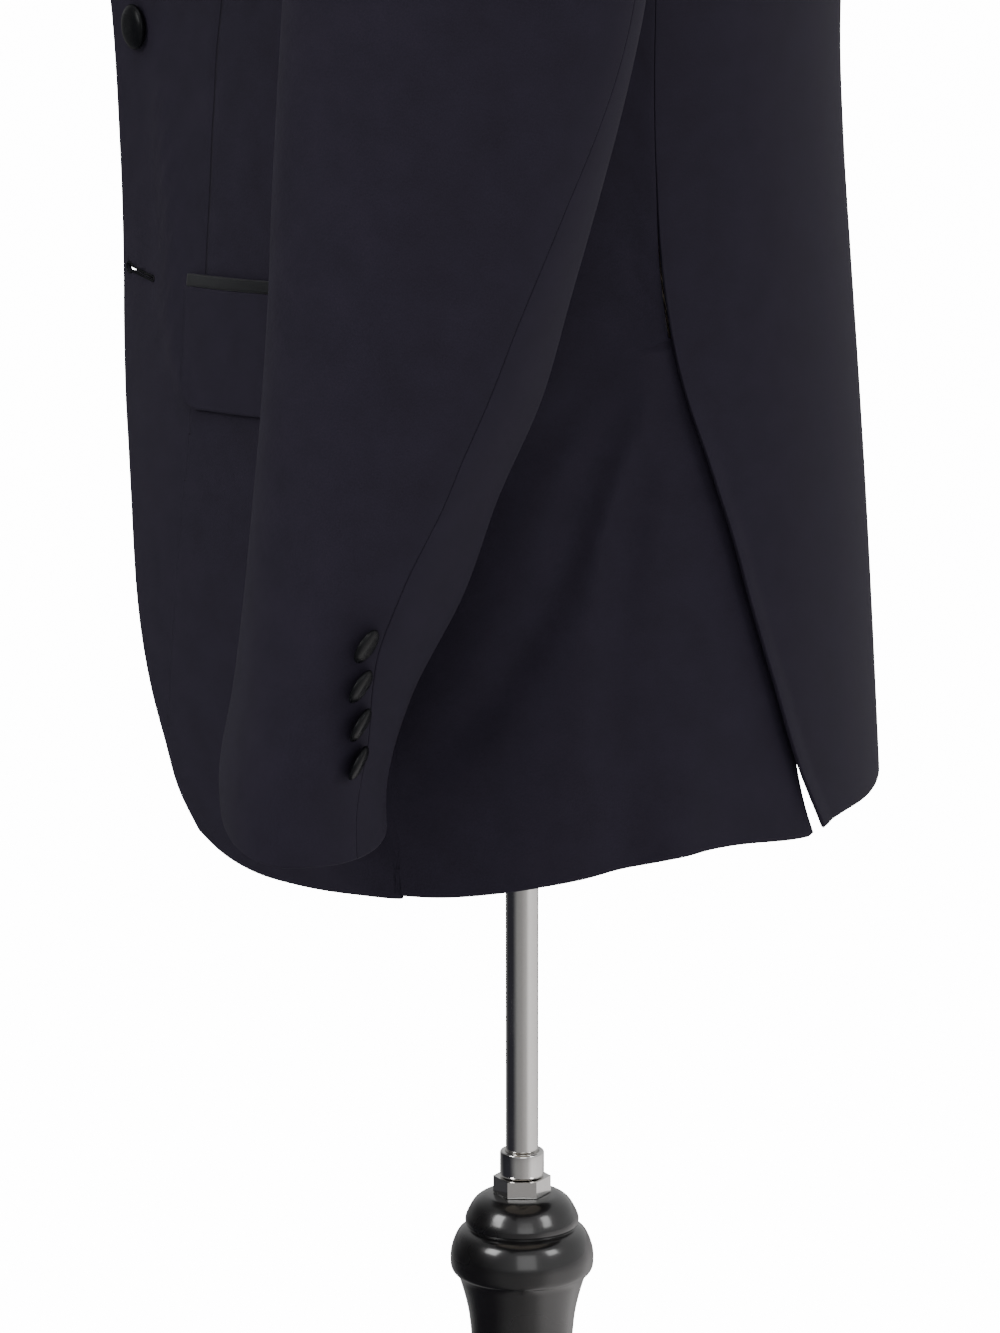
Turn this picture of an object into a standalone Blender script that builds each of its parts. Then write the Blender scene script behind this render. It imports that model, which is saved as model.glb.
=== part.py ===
"""A tuxedo jacket worn by a limbless dress form on a turned wooden stand.

Metres, +Z up. The front faces -Y and the wearer's left is +X. The origin is on
the floor, on the axis of the pole. The cloth is described by its outer face:
"turn" goes round the body in degrees, from 0 at the centre front to 90 at the
side and 180 at the centre back, and "level" climbs it from the hem to the neck.
"""
import math

import bmesh
import bpy
import numpy as np
from mathutils import Vector

# Cloth
WALL = 0.002
SEAM = 0.00035
LAYER = WALL + SEAM

# Sections of the jacket's outer face. prow is the angle in degrees at which the
# fronts meet; full_front and full_side say how far each section stays square.
SECTION_COLUMNS = (
    "level", "z_front", "z_back", "half_width", "y_front", "y_side", "y_back",
    "prow", "full_front", "full_side",
)
SECTIONS = (
    (0.740, 0.740, 0.740, 0.201, -0.189, 0.010, 0.1625, 18, 0.40, 0.56),
    (0.800, 0.800, 0.800, 0.197, -0.187, 0.010, 0.1590, 18, 0.40, 0.56),
    (0.850, 0.850, 0.850, 0.191, -0.1833, 0.010, 0.1560, 18, 0.40, 0.56),
    (0.900, 0.900, 0.900, 0.184, -0.1780, 0.010, 0.1527, 18, 0.40, 0.56),
    (0.950, 0.950, 0.950, 0.178, -0.1723, 0.010, 0.1490, 20, 0.40, 0.56),
    (1.000, 1.000, 1.000, 0.174, -0.1682, 0.010, 0.1450, 23, 0.40, 0.56),
    (1.050, 1.050, 1.050, 0.173, -0.1677, 0.010, 0.1412, 26, 0.40, 0.56),
    (1.100, 1.100, 1.100, 0.177, -0.1682, 0.010, 0.1390, 30, 0.40, 0.56),
    (1.150, 1.150, 1.150, 0.185, -0.1735, 0.010, 0.1405, 29, 0.42, 0.56),
    (1.200, 1.200, 1.200, 0.194, -0.1780, 0.010, 0.1445, 24, 0.44, 0.56),
    (1.250, 1.250, 1.250, 0.203, -0.1800, 0.010, 0.1490, 18, 0.47, 0.56),
    (1.300, 1.297, 1.299, 0.211, -0.1760, 0.011, 0.1515, 12, 0.50, 0.56),
    (1.350, 1.338, 1.345, 0.218, -0.166, 0.012, 0.1490, 7, 0.53, 0.56),
    (1.400, 1.375, 1.392, 0.2235, -0.151, 0.013, 0.1410, 4, 0.54, 0.56),
    (1.440, 1.402, 1.431, 0.227, -0.137, 0.014, 0.1300, 2, 0.55, 0.56),
    (1.470, 1.421, 1.459, 0.188, -0.122, 0.013, 0.1150, 0, 0.55, 0.56),
    (1.500, 1.440, 1.488, 0.138, -0.104, 0.011, 0.0970, 0, 0.55, 0.56),
    (1.530, 1.462, 1.523, 0.081, -0.081, 0.008, 0.0710, 0, 0.55, 0.56),
    (1.556, 1.488, 1.552, 0.073, -0.070, 0.006, 0.0630, 0, 0.55, 0.56),
)
BACK_FULLNESS = 0.58
NECK_LEVEL = 1.530
FOLD_LEVEL = 1.555
SHOULDER_LEVEL = 1.440

# Largest folds: how far each reaches to its sides, and its course seen from the
# side with its height out of the cloth, which is below 0 in a hollow
FOLD_COLUMNS = ("y", "z", "height")
FOLDS = (
    ("vent to pocket hollow", 0.010, (
        (0.052, 0.968, 0.0), (0.040, 0.948, -0.0040), (0.028, 0.922, -0.0045), (0.011, 0.877, -0.0040),
        (-0.015, 0.837, -0.0032), (-0.0295, 0.821, -0.0025), (-0.050, 0.792, 0.0),
    )),
    ("ridge above it", 0.008, (
        (0.060, 0.980, 0.0), (0.048, 0.949, 0.0030), (0.036, 0.915, 0.0025), (0.026, 0.880, 0.0),
    )),
    ("upright hollow", 0.009, (
        (0.0565, 0.962, 0.0), (0.048, 0.923, -0.0035), (0.0434, 0.897, -0.0035), (0.0405, 0.853, -0.0025),
        (0.0376, 0.815, 0.0),
    )),
    ("waist hollow", 0.010, (
        (0.042, 0.985, 0.0), (0.026, 0.963, -0.0026), (0.005, 0.940, -0.0022), (-0.012, 0.920, 0.0),
    )),
    ("hem hollow", 0.012, ((0.040, 0.845, 0.0), (0.043, 0.800, -0.0030), (0.043, 0.740, -0.0045))),
    ("hem ridge", 0.012, ((0.075, 0.850, 0.0), (0.068, 0.800, 0.0030), (0.066, 0.740, 0.0040))),
    ("front ridge", 0.006, (
        (-0.1588, 1.085, 0.0), (-0.1545, 1.045, 0.0022), (-0.1512, 1.010, 0.0026), (-0.1515, 0.975, 0.0022),
        (-0.1451, 0.948, 0.0020), (-0.1326, 0.925, 0.0),
    )),
)
SLEEVE_FOLDS = (
    ("long hollow", 0.016, (
        (0.010, 1.165, 0.0), (0.003, 1.133, -0.0030), (-0.016, 1.057, -0.0040), (-0.035, 0.999, -0.0045),
        (-0.047, 0.960, -0.0035), (-0.058, 0.895, 0.0),
    )),
)

# Cut edge of a front: distance round from the centre front, minus past it
EDGE_COLUMNS = ("z", "round")
FRONT_EDGE = (
    (0.7620, 0.1160), (0.7760, 0.0968), (0.7960, 0.0800), (0.8140, 0.0635), (0.8320, 0.0495), (0.8500, 0.0380),
    (0.8700, 0.0275), (0.8920, 0.0160), (0.9120, 0.0040), (0.9320, -0.0090), (0.9620, -0.0205), (0.9980, -0.0262),
    (1.0400, -0.0268), (1.1180, -0.0270),
)
FRONT_HEM_COLUMNS = ("round", "z")
FRONT_HEM = (
    (0.1160, 0.7620), (0.1352, 0.7560), (0.1559, 0.7525), (0.1866, 0.7515), (0.2152, 0.7522), (0.2386, 0.7538),
)
HEM_COLUMNS = ("y", "z")
HEM = (
    (-0.0600, 0.7542), (-0.0340, 0.7552), (-0.0098, 0.7583), (0.0100, 0.7616), (0.0324, 0.7655), (0.0496, 0.7685),
    (0.0656, 0.7712), (0.0912, 0.7715), (0.1235, 0.7665), (0.1300, 0.7655),
)
BACK_CENTRE_Y = 0.1600
FRONT_SEAM_HEM = 0.7545
SIDE_HEM_FRONT = 0.7550
SIDE_HEM_BACK = 0.7670
BACK_HEM = ((0.1250, 0.7695), (0.1391, 0.7712), (0.1539, 0.7700), (0.1650, 0.7695))

# Seams by height, seen from the side
SEAM_COLUMNS = ("z", "y")
FRONT_SEAM = ((0.750, -0.054), (0.900, -0.052), (1.000, -0.050), (1.100, -0.046), (1.200, -0.039))
BACK_SEAM = (
    (0.764, 0.1300), (0.778, 0.1240), (0.800, 0.1160), (0.837, 0.1050), (0.869, 0.0955), (0.900, 0.0870),
    (0.925, 0.0790), (0.971, 0.0650), (1.010, 0.0580), (1.049, 0.0550), (1.123, 0.0540), (1.190, 0.0560),
)
VENT_TOP = 0.985
VENT_TACK = 0.012
UNDERLAP_COLUMNS = ("z", "past_edge")
UNDERLAP = ((0.765, -0.0060), (0.800, 0.0000), (0.870, 0.0070), (0.975, 0.0170))

# Roll line, lapel and collar, seen from the front
ROLL_START = (-0.0235, 1.118)
ROLL_END = (0.0806, 1.530)
GORGE_ROLL_Z = 1.452
NOTCH = (0.0930, 1.4030)
LAPEL_TIP = (0.1270, 1.3800)
LAPEL_EDGE = (
    (-0.0200, 1.1180), (0.0060, 1.1520), (0.0420, 1.2060), (0.0780, 1.2680), (0.1080, 1.3320), LAPEL_TIP,
)
COLLAR_TIP = (0.1200, 1.4290)
# Collar: heights on the roll line and of the fold there, then turn and level pairs
COLLAR_FOLD_FRONT = ((1.490, 1.490), (1.520, 1.522))
COLLAR_FOLD_BACK = ((105, 1.545), (135, FOLD_LEVEL), (180, FOLD_LEVEL))
COLLAR_EDGE_FRONT = (0.137, 1.470)
COLLAR_EDGE_BACK = ((90, 1.503), (130, 1.512), (180, 1.515))
COLLAR_STAND_TURN = 88

# Armhole, and the sleeve by height
ARMHOLE_LEVEL = 1.3325
ARMHOLE_RISE = 0.1075
ARMHOLE_TURN = 23.0
FRONT_NOTCH_ANGLE = 144.0
BACK_NOTCH_ANGLE = 237.6
SLEEVE_COLUMNS = ("z", "y_front", "y_back", "x_inner", "x_outer", "x_front", "x_back")
SLEEVE = (
    (0.770, -0.1200, -0.0530, 0.1900, 0.2940, 0.2060, 0.2350),
    (0.817, -0.1235, -0.0540, 0.1895, 0.2945, 0.2050, 0.2300),
    (0.850, -0.1175, -0.0440, 0.1900, 0.2950, 0.2150, 0.2250),
    (0.891, -0.1115, -0.0230, 0.1910, 0.2955, 0.2350, 0.2200),
    (0.931, -0.1070, -0.0090, 0.1925, 0.2960, 0.2450, 0.2250),
    (0.971, -0.1030, 0.0080, 0.1945, 0.2965, 0.2470, 0.2320),
    (1.011, -0.1000, 0.0190, 0.1960, 0.2970, 0.2480, 0.2400),
    (1.051, -0.0980, 0.0300, 0.1975, 0.2975, 0.2490, 0.2450),
    (1.090, -0.0956, 0.0400, 0.1990, 0.2980, 0.2500, 0.2480),
    (1.129, -0.0930, 0.0480, 0.2000, 0.2985, 0.2500, 0.2500),
    (1.175, -0.0910, 0.0530, 0.2010, 0.2985, 0.2500, 0.2500),
)
SLEEVE_TOP_Z = 1.175
CUFF_COLUMNS = ("angle", "z")
CUFF = (
    (0.0, 0.7935), (60.0, 0.799), (110.0, 0.812), (150.0, 0.812), (200.0, 0.802), (290.0, 0.793), (360.0, 0.7935),
)
FOREARM_ANGLE = 130.0
# How the sleeve's crown leaves the armhole, and how strongly both ends pull
CAP_WAY_LOW = np.array([1.0, 0.0, -0.55])
CAP_WAY_HIGH = np.array([1.0, 0.0, -0.22])
CAP_PULL_START = 0.85
CAP_PULL_END = 1.05
ELBOW_COLUMNS = ("z", "y")
ELBOW_SEAM = (
    (0.783, -0.0645), (0.835, -0.0615), (0.884, -0.0545), (0.905, -0.0460), (0.935, -0.0310), (0.958, -0.0215),
    (0.990, -0.0080), (1.0465, 0.0150), (1.107, 0.0380),
)
ARMHOLE_ELBOW_ANGLE = -80.0

# Pocket
FLAP_FRONT_Y = -0.1430
FLAP_TOP = 0.9922
FLAP_LENGTH = 0.155
FLAP_DEPTH = 0.0515
FLAP_CORNER = 0.015
FLAP_SLANT = 0.18
FLAP_RISE = 0.06
CORNER_BEND = 0.3
JET_HEIGHT = 0.0055
JET_WALL = 0.0015

# How far the right front lies inside the left one, by height
DROP_COLUMNS = ("level", "inside")
CLOSURE_DROP = (
    (0.860, 0.0), (0.900, 0.0030), (0.940, 0.0065), (0.970, 0.0098), (1.010, 0.0098), (1.050, 0.0068),
    (1.200, 0.0070), (1.250, 0.0050), (1.320, 0.0),
)
VENT_DROP = LAYER + 0.0012
VENT_EASE_START = 0.055
VENT_EASE = 0.035
VENT_RISE = 0.040
POCKET_LIFT = 0.0006
LAPEL_LIFT = 0.0012
ROLL_ROOM = 0.0006
GORGE_ROOM = 0.0016
COLLAR_SWELL = 0.0018
ARMHOLE_CLEARANCE = 0.0020

# Buttons
FRONT_BUTTON = 0.020
FRONT_BUTTON_HEIGHTS = (1.099, 0.991)
FRONT_BUTTON_THICK = 0.0050
BUTTON_SEAT = 0.0006
CUFF_BUTTON = 0.015
CUFF_BUTTON_THICK = 0.0035
CUFF_BUTTON_INSET = 0.0085
CUFF_BUTTON_HEIGHTS = (0.8838, 0.8675, 0.8512, 0.8350)

# Dress form
FORM_BOTTOM = 0.860
FORM_SECTIONS = (
    (0.860, 0.860, 0.860, 0.152, -0.118, 0.010, 0.128, 0, 0.55, 0.56),
    (0.867, 0.867, 0.867, 0.160, -0.128, 0.010, 0.136, 0, 0.55, 0.56),
    (0.900, 0.900, 0.900, 0.163, -0.131, 0.010, 0.138, 0, 0.55, 0.56),
    (0.950, 0.950, 0.950, 0.160, -0.128, 0.010, 0.135, 0, 0.55, 0.56),
    (1.000, 1.000, 1.000, 0.157, -0.124, 0.010, 0.131, 0, 0.55, 0.56),
    (1.050, 1.050, 1.050, 0.156, -0.122, 0.010, 0.127, 0, 0.55, 0.56),
    (1.100, 1.100, 1.100, 0.159, -0.124, 0.010, 0.125, 0, 0.55, 0.56),
    (1.150, 1.150, 1.150, 0.165, -0.130, 0.010, 0.127, 0, 0.55, 0.56),
    (1.200, 1.200, 1.200, 0.171, -0.138, 0.010, 0.131, 0, 0.55, 0.56),
    (1.250, 1.250, 1.250, 0.177, -0.144, 0.010, 0.136, 0, 0.55, 0.56),
    (1.300, 1.297, 1.299, 0.182, -0.145, 0.010, 0.140, 0, 0.55, 0.56),
    (1.350, 1.338, 1.345, 0.187, -0.140, 0.010, 0.139, 0, 0.55, 0.56),
    (1.400, 1.373, 1.390, 0.190, -0.130, 0.010, 0.132, 0, 0.55, 0.56),
    (1.430, 1.396, 1.418, 0.190, -0.123, 0.010, 0.125, 0, 0.55, 0.56),
)
# Rings of the form that follow the cloth over the shoulders, and how far the
# cloth's shoulder ridge rests on each
SHOULDER_RINGS = ((1.464, 0.0), (1.478, 0.2), (1.490, 1.0), (1.500, 1.0), (1.512, 0.0), (1.522, 0.0))
NECK_SECTIONS = (
    (1.531, 1.467, 1.523, 0.069, -0.069, 0.008, 0.059, 0, 0.55, 0.56),
    (1.558, 1.510, 1.554, 0.065, -0.063, 0.008, 0.056, 0, 0.55, 0.56),
    (1.580, 1.560, 1.580, 0.062, -0.060, 0.008, 0.055, 0, 0.55, 0.56),
    (1.600, 1.597, 1.600, 0.061, -0.059, 0.008, 0.055, 0, 0.55, 0.56),
    (1.605, 1.605, 1.605, 0.056, -0.054, 0.008, 0.050, 0, 0.55, 0.56),
)
RIDGE_WIDTH = 7.0
FORM_CLEARANCE = 0.0007
FORM_EASE = 0.010

# Stand
POLE_RADIUS = 0.0075
POLE_BOTTOM = 0.250
POLE_TOP = 1.150
BORE_CLEARANCE = 0.0003
FITTING_RADIUS = 0.0102
FITTING_BOTTOM = 0.5735
FITTING_TOP = 0.5855
NUT_FLATS = 0.023
NUT_BOTTOM = 0.5655
NUT_TOP = 0.5732
BORE_FLOOR = 0.090
COLUMN_PROFILE = (
    (0.0135, 0.5652), (0.0175, 0.5645), (0.0215, 0.5620), (0.0245, 0.5575), (0.0263, 0.5515), (0.0245, 0.5498),
    (0.0285, 0.5475), (0.0320, 0.5410), (0.0331, 0.5343), (0.0322, 0.5290), (0.0300, 0.5275), (0.0272, 0.5190),
    (0.0247, 0.5080), (0.0235, 0.4970), (0.0215, 0.4700), (0.0205, 0.4400), (0.0225, 0.4050), (0.0285, 0.3550),
    (0.0325, 0.3100), (0.0310, 0.2650), (0.0225, 0.2300), (0.0300, 0.2180), (0.0300, 0.2100), (0.0350, 0.2000),
    (0.0350, 0.0850), (0.0280, 0.0750),
)
COLUMN_STEPS = 20
LEG_JOIN = 0.0353
LEG_TOE = 0.250
FOOT_INSIDE = 0.212
LEG_OUTLINE_TOP = (
    (LEG_JOIN, 0.188), (0.075, 0.178), (0.120, 0.135), (0.160, 0.078), (0.200, 0.038), (LEG_TOE, 0.024),
)
LEG_OUTLINE_UNDER = (
    (FOOT_INSIDE, 0.0), (0.180, 0.018), (0.130, 0.062), (0.090, 0.108), (0.062, 0.122), (LEG_JOIN, 0.100),
)
LEG_THICK = 0.022


def smooth(stations, values, at):
    """Value at each place of a smooth curve through the stations."""
    stations = np.asarray(stations, float)
    values = np.asarray(values, float)
    at = np.clip(at, stations[0], stations[-1])
    slopes = np.gradient(values, stations)
    left = np.clip(np.searchsorted(stations, at, side="right") - 1, 0, len(stations) - 2)
    width = stations[left + 1] - stations[left]
    t = (at - stations[left]) / width
    return (
        (1 + 2 * t) * (1 - t) ** 2 * values[left]
        + t * (1 - t) ** 2 * width * slopes[left]
        + t * t * (3 - 2 * t) * values[left + 1]
        - t * t * (1 - t) * width * slopes[left + 1]
    )


def table(rows, at):
    """Second column of a two-column table, read smoothly by its first."""
    first, second = zip(*rows)
    return smooth(first, second, at)


def step(value):
    """Rise smoothly from 0 to 1 as the value goes from 0 to 1."""
    t = np.clip(value, 0.0, 1.0)
    return t * t * (3 - 2 * t)


def bezier(t, p0, p1, p2, p3):
    return (1 - t) ** 3 * p0 + 3 * t * (1 - t) ** 2 * p1 + 3 * t * t * (1 - t) * p2 + t ** 3 * p3


def columns(names, rows):
    """Columns of a table by their names."""
    return {name: np.array(column, float) for name, column in zip(names, zip(*rows))}


SECTION = columns(SECTION_COLUMNS, SECTIONS)


def section_point(turn, level, sections):
    """Point of the left half of a body; below 0 the front runs straight on past the centre."""
    turn, level = np.broadcast_arrays(np.asarray(turn, float), np.asarray(level, float))
    row = {name: smooth(sections["level"], column, level) for name, column in sections.items()}
    reach = row["full_front"] * row["half_width"]
    rise = np.tan(np.radians(row["prow"])) * reach
    front = np.clip(turn / 90, 0, 1)
    back = np.clip(turn / 90 - 1, 0, 1)
    side_y = row["y_side"] - row["full_side"] * (row["y_side"] - row["y_front"])
    back_y = row["y_side"] + BACK_FULLNESS * (row["y_back"] - row["y_side"])
    x_front = bezier(front, 0, reach, row["half_width"], row["half_width"])
    y_front = bezier(front, row["y_front"], row["y_front"] + rise, side_y, row["y_side"])
    x_back = bezier(back, row["half_width"], row["half_width"], BACK_FULLNESS * row["half_width"], 0)
    y_back = bezier(back, row["y_side"], back_y, row["y_back"], row["y_back"])
    past = np.minimum(turn, 0) / 30
    behind = turn > 90
    x = np.where(behind, x_back, x_front + past * reach)
    y = np.where(behind, y_back, y_front + past * rise)
    z_front = row["z_front"] + (level - row["z_front"]) * step(front)
    z_back = level + (row["z_back"] - level) * step(back)
    z = np.where(behind, z_back, z_front)
    return np.stack([x, y, z], axis=-1)


def unit(vectors):
    return vectors / np.linalg.norm(vectors, axis=-1, keepdims=True)


def facing(surface, turn, level):
    """Direction straight out of a surface."""
    turn_step = 0.2
    level_step = 0.0008
    turn = np.minimum(turn, 180 - 2 * turn_step)
    level = np.clip(level, SECTIONS[0][0] + level_step, SECTIONS[-1][0] - level_step)
    round_step = surface(turn + turn_step, level) - surface(turn - turn_step, level)
    up = surface(turn, level + level_step) - surface(turn, level - level_step)
    return unit(np.cross(round_step, up))


def fold_height(y, z, folds):
    """Height of the folds at places seen from the side."""
    total = np.zeros(np.broadcast(y, z).shape)
    for name, reach, course in folds:
        away = np.full(total.shape, np.inf)
        height = np.zeros(total.shape)
        for (y0, z0, h0), (y1, z1, h1) in zip(course, course[1:]):
            length_squared = (y1 - y0) ** 2 + (z1 - z0) ** 2
            t = np.clip(((y - y0) * (y1 - y0) + (z - z0) * (z1 - z0)) / length_squared, 0, 1)
            distance = np.hypot(y - y0 - t * (y1 - y0), z - z0 - t * (z1 - z0))
            height = np.where(distance < away, h0 + t * (h1 - h0), height)
            away = np.minimum(distance, away)
        total = total + height * np.exp(-(away / reach) ** 2)
    return total


def plain_body(turn, level):
    return section_point(turn, level, SECTION)


def body(turn, level):
    """Point on the cloth's outer face with its folds."""
    point = plain_body(turn, level)
    height = fold_height(point[..., 1], point[..., 2], FOLDS)
    return point + facing(plain_body, turn, level) * height[..., None]


def outward(turn, level):
    """Direction straight out of the cloth."""
    return facing(body, turn, level)


def cloth(turn, level, out=0.0):
    """Point on the left half, moved out of the cloth's outer face."""
    out = np.asarray(out, float)
    return body(turn, level) + outward(turn, level) * out[..., None]


TURNS = np.linspace(-18, 180, 397)
LEVELS = np.linspace(0.740, 1.556, 409)
LATTICE = body(TURNS[:, None], LEVELS[None, :])
ROUND = np.concatenate([
    np.zeros((1, len(LEVELS))),
    np.cumsum(np.linalg.norm(np.diff(LATTICE, axis=0), axis=-1), axis=0),
])
ROUND = ROUND - ROUND[np.searchsorted(TURNS, 0.0)]


def find(measure, value, z, turns=(-18, 180)):
    """Turn and level at which a measure along the lattice has its value at the height z."""
    keep = (TURNS >= turns[0]) & (TURNS <= turns[1])
    turn_at = [np.interp(value, measure[keep, i], TURNS[keep]) for i in range(len(LEVELS))]
    z_at = [np.interp(turn_at[i], TURNS, LATTICE[:, i, 2]) for i in range(len(LEVELS))]
    return np.interp(z, z_at, turn_at), np.interp(z, z_at, LEVELS)


def at_front(x, z):
    """Turn and level of the point that stands at x and z seen from the front."""
    return find(LATTICE[:, :, 0], x, z, (-18, 90))


def at_side(y, z):
    """Turn and level of the point that stands at y and z seen from the side."""
    return find(LATTICE[:, :, 1], y, z)


def at_round(distance, z):
    """Turn and level at a distance round from the centre front."""
    return find(ROUND, distance, z)


def armhole(angle, inside=0.0):
    """Turn and level on the armhole; angle 0 is its top, 90 its front and 180 its bottom."""
    shrink = 1 - inside / ARMHOLE_RISE
    turn = 90 - ARMHOLE_TURN * shrink * np.sin(np.radians(angle))
    level = ARMHOLE_LEVEL + ARMHOLE_RISE * shrink * np.cos(np.radians(angle))
    return turn, level


def sample(knots, count):
    """Evenly spaced points on the smooth line through the knots."""
    knots = np.array(knots, float)
    metric = knots * np.array([0.003, 1.0])
    length = np.concatenate([[0], np.cumsum(np.linalg.norm(np.diff(metric, axis=0), axis=1))])
    at = np.linspace(0, length[-1], count)
    return np.stack([smooth(length, knots[:, 0], at), smooth(length, knots[:, 1], at)], axis=1)


def chain(*runs):
    """Join runs of points end to end, each starting where the last one ends."""
    return np.concatenate([runs[0]] + [run[1:] for run in runs[1:]])


def patch(left, right, bottom, top):
    """Fill a grid of turn and level pairs in between its four edges."""
    v = np.linspace(0, 1, len(left))[:, None, None]
    u = np.linspace(0, 1, len(bottom))[None, :, None]
    corners = (
        (1 - u) * (1 - v) * left[0] + u * (1 - v) * right[0] + (1 - u) * v * left[-1] + u * v * right[-1]
    )
    edges = (1 - u) * left[:, None] + u * right[:, None] + (1 - v) * bottom[None] + v * top[None]
    return edges - corners


def collection(name):
    made = bpy.data.collections.new(name)
    bpy.context.scene.collection.children.link(made)
    return made


def material(name, colour, roughness, metallic=0.0):
    made = bpy.data.materials.new(name)
    made.use_nodes = True
    shader = made.node_tree.nodes["Principled BSDF"]
    shader.inputs["Base Color"].default_value = (*colour, 1.0)
    shader.inputs["Roughness"].default_value = roughness
    shader.inputs["Metallic"].default_value = metallic
    return made


def add(name, mesh, finish, home=None):
    made = bpy.data.objects.new(name, mesh)
    if finish is not None:
        mesh.materials.append(finish)
    (home or PART).objects.link(made)
    return made


def sheet(name, outer, inner, finish):
    """A cloth wall between two grids of points, lofted so that walls part by the same gap at a seam."""
    rows, columns = outer.shape[:2]
    count = rows * columns
    number = np.arange(count).reshape(rows, columns)
    a, b = number[:-1, :-1].ravel(), number[:-1, 1:].ravel()
    c, d = number[1:, 1:].ravel(), number[1:, :-1].ravel()
    faces = np.concatenate([np.stack([a, b, c, d], axis=1), count + np.stack([d, c, b, a], axis=1)])
    rim = np.concatenate([number[0, :-1], number[:-1, -1], number[-1, :0:-1], number[:0:-1, 0]])
    after = np.roll(rim, -1)
    faces = np.concatenate([faces, np.stack([rim, rim + count, after + count, after], axis=1)])
    mesh = bpy.data.meshes.new(name)
    points = np.concatenate([outer.reshape(-1, 3), inner.reshape(-1, 3)])
    mesh.from_pydata(points.tolist(), [], faces.tolist())
    mesh.shade_smooth()
    mesh.set_sharp_from_angle(angle=math.radians(50))
    return add(name, mesh, finish)


def mirrored(points):
    """The same grid on the wearer's right, with its columns turned round to face out."""
    return points[:, ::-1] * np.array([-1.0, 1.0, 1.0])


for old in list(bpy.data.objects):
    bpy.data.objects.remove(old, do_unlink=True)
PART = collection("tuxedo_jacket_on_dress_form")
CUTTERS = collection("cutters")

WOOL = material("black_wool", (0.012, 0.011, 0.016), 0.85)
SATIN = material("black_satin", (0.010, 0.011, 0.012), 0.40)
BUTTON = material("black_button", (0.012, 0.012, 0.013), 0.30)
LINEN = material("natural_linen", (0.62, 0.55, 0.44), 0.90)
CHROME = material("chrome", (0.78, 0.77, 0.75), 0.10, 1.0)
BLACK_WOOD = material("gloss_black_wood", (0.010, 0.009, 0.009), 0.12)


def shift(points, distance):
    """Move turn and level pairs round the body by a distance."""
    points = np.asarray(points, float)
    probe = 0.5
    ahead = body(points[:, 0] + probe, points[:, 1])
    behind = body(points[:, 0] - probe, points[:, 1])
    speed = np.linalg.norm(ahead - behind, axis=1)
    return points + np.stack([distance * 2 * probe / speed, np.zeros(len(points))], axis=1)


def roll(z):
    """Place of the roll line, seen from the front, at a height."""
    along = (z - ROLL_START[1]) / (ROLL_END[1] - ROLL_START[1])
    return ROLL_START[0] + along * (ROLL_END[0] - ROLL_START[0])


def seam_run(rows, notch_angle, bottom, count):
    """A long seam, from a height up to where it meets the armhole."""
    heights = [bottom] + [z for z, y in rows if z > bottom + 0.01]
    knots = [at_side(table(rows, z), z) for z in heights] + [armhole(notch_angle)]
    return sample(knots, count)


def hem_run(rows, start, end, count):
    """A hem between two places that lie to the front and to the back, seen from the side."""
    return np.array([at_side(y, table(rows, y)) for y in np.linspace(start, end, count)])


def armhole_run(start, end, count, inside=0.0):
    return np.array([armhole(angle, inside) for angle in np.linspace(start, end, count)])


def front_grid(across=13, low_rows=12, seam_rows=16):
    """Turn and level of a front, from its cut edge and roll line to the side seam and armhole."""
    rows = 25
    low = np.linspace(FRONT_EDGE[0][0], ROLL_START[1], low_rows)
    high = np.linspace(ROLL_START[1], ROLL_END[1], rows - low_rows + 1)
    edge = np.array([at_round(table(FRONT_EDGE, z), z) for z in low])
    rolled = np.array([at_front(roll(z), z) for z in high])
    left = chain(edge, rolled)
    left[-1] = (90, NECK_LEVEL)
    hem_z = table(HEM, table(FRONT_SEAM, FRONT_SEAM_HEM))
    seam = seam_run(FRONT_SEAM, FRONT_NOTCH_ANGLE, hem_z, seam_rows)
    right = chain(seam, armhole_run(FRONT_NOTCH_ANGLE, 0, rows - seam_rows + 1))
    right[:seam_rows] = shift(right[:seam_rows], -SEAM / 2)
    bottom = sample([at_round(distance, z) for distance, z in FRONT_HEM] + [right[0]], across)
    top = sample([(90, NECK_LEVEL), (90, SHOULDER_LEVEL)], across)
    for run in (left[-1:], right[-1:], top):
        run[:] = shift(run, -SEAM / 2)
    return patch(left, right, bottom, top)


def side_grid(across=14, low_rows=10, high_rows=10):
    """Turn and level of a side body, with the underlap of the vent."""
    hem_front = table(FRONT_SEAM, FRONT_SEAM_HEM)
    front_seam = seam_run(FRONT_SEAM, FRONT_NOTCH_ANGLE, table(HEM, hem_front), 80)
    back_seam = seam_run(BACK_SEAM, BACK_NOTCH_ANGLE, VENT_TOP, high_rows)
    tack = VENT_TOP - VENT_TACK
    front_low = [at_side(table(FRONT_SEAM, z), z) for z in np.linspace(SIDE_HEM_FRONT, tack, low_rows)]
    back_low = [
        at_side(table(BACK_SEAM, z) + table(UNDERLAP, z), z) for z in np.linspace(SIDE_HEM_BACK, tack, low_rows)
    ]
    front_high = sample([point for point in front_seam if point[1] > VENT_TOP], high_rows)
    left = np.concatenate([shift(front_low, SEAM / 2), shift(front_high, SEAM / 2)])
    right = np.concatenate([back_low, shift(back_seam, -SEAM / 2)])
    hem_back = table(BACK_SEAM, SIDE_HEM_BACK) + table(UNDERLAP, SIDE_HEM_BACK)
    bottom = hem_run(HEM, hem_front, hem_back, across)
    top = armhole_run(FRONT_NOTCH_ANGLE, BACK_NOTCH_ANGLE, across)
    bottom[0] = left[0]
    bottom[-1] = right[0]
    top[0] = left[-1]
    top[-1] = right[-1]
    return patch(left, right, bottom, top)


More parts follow.
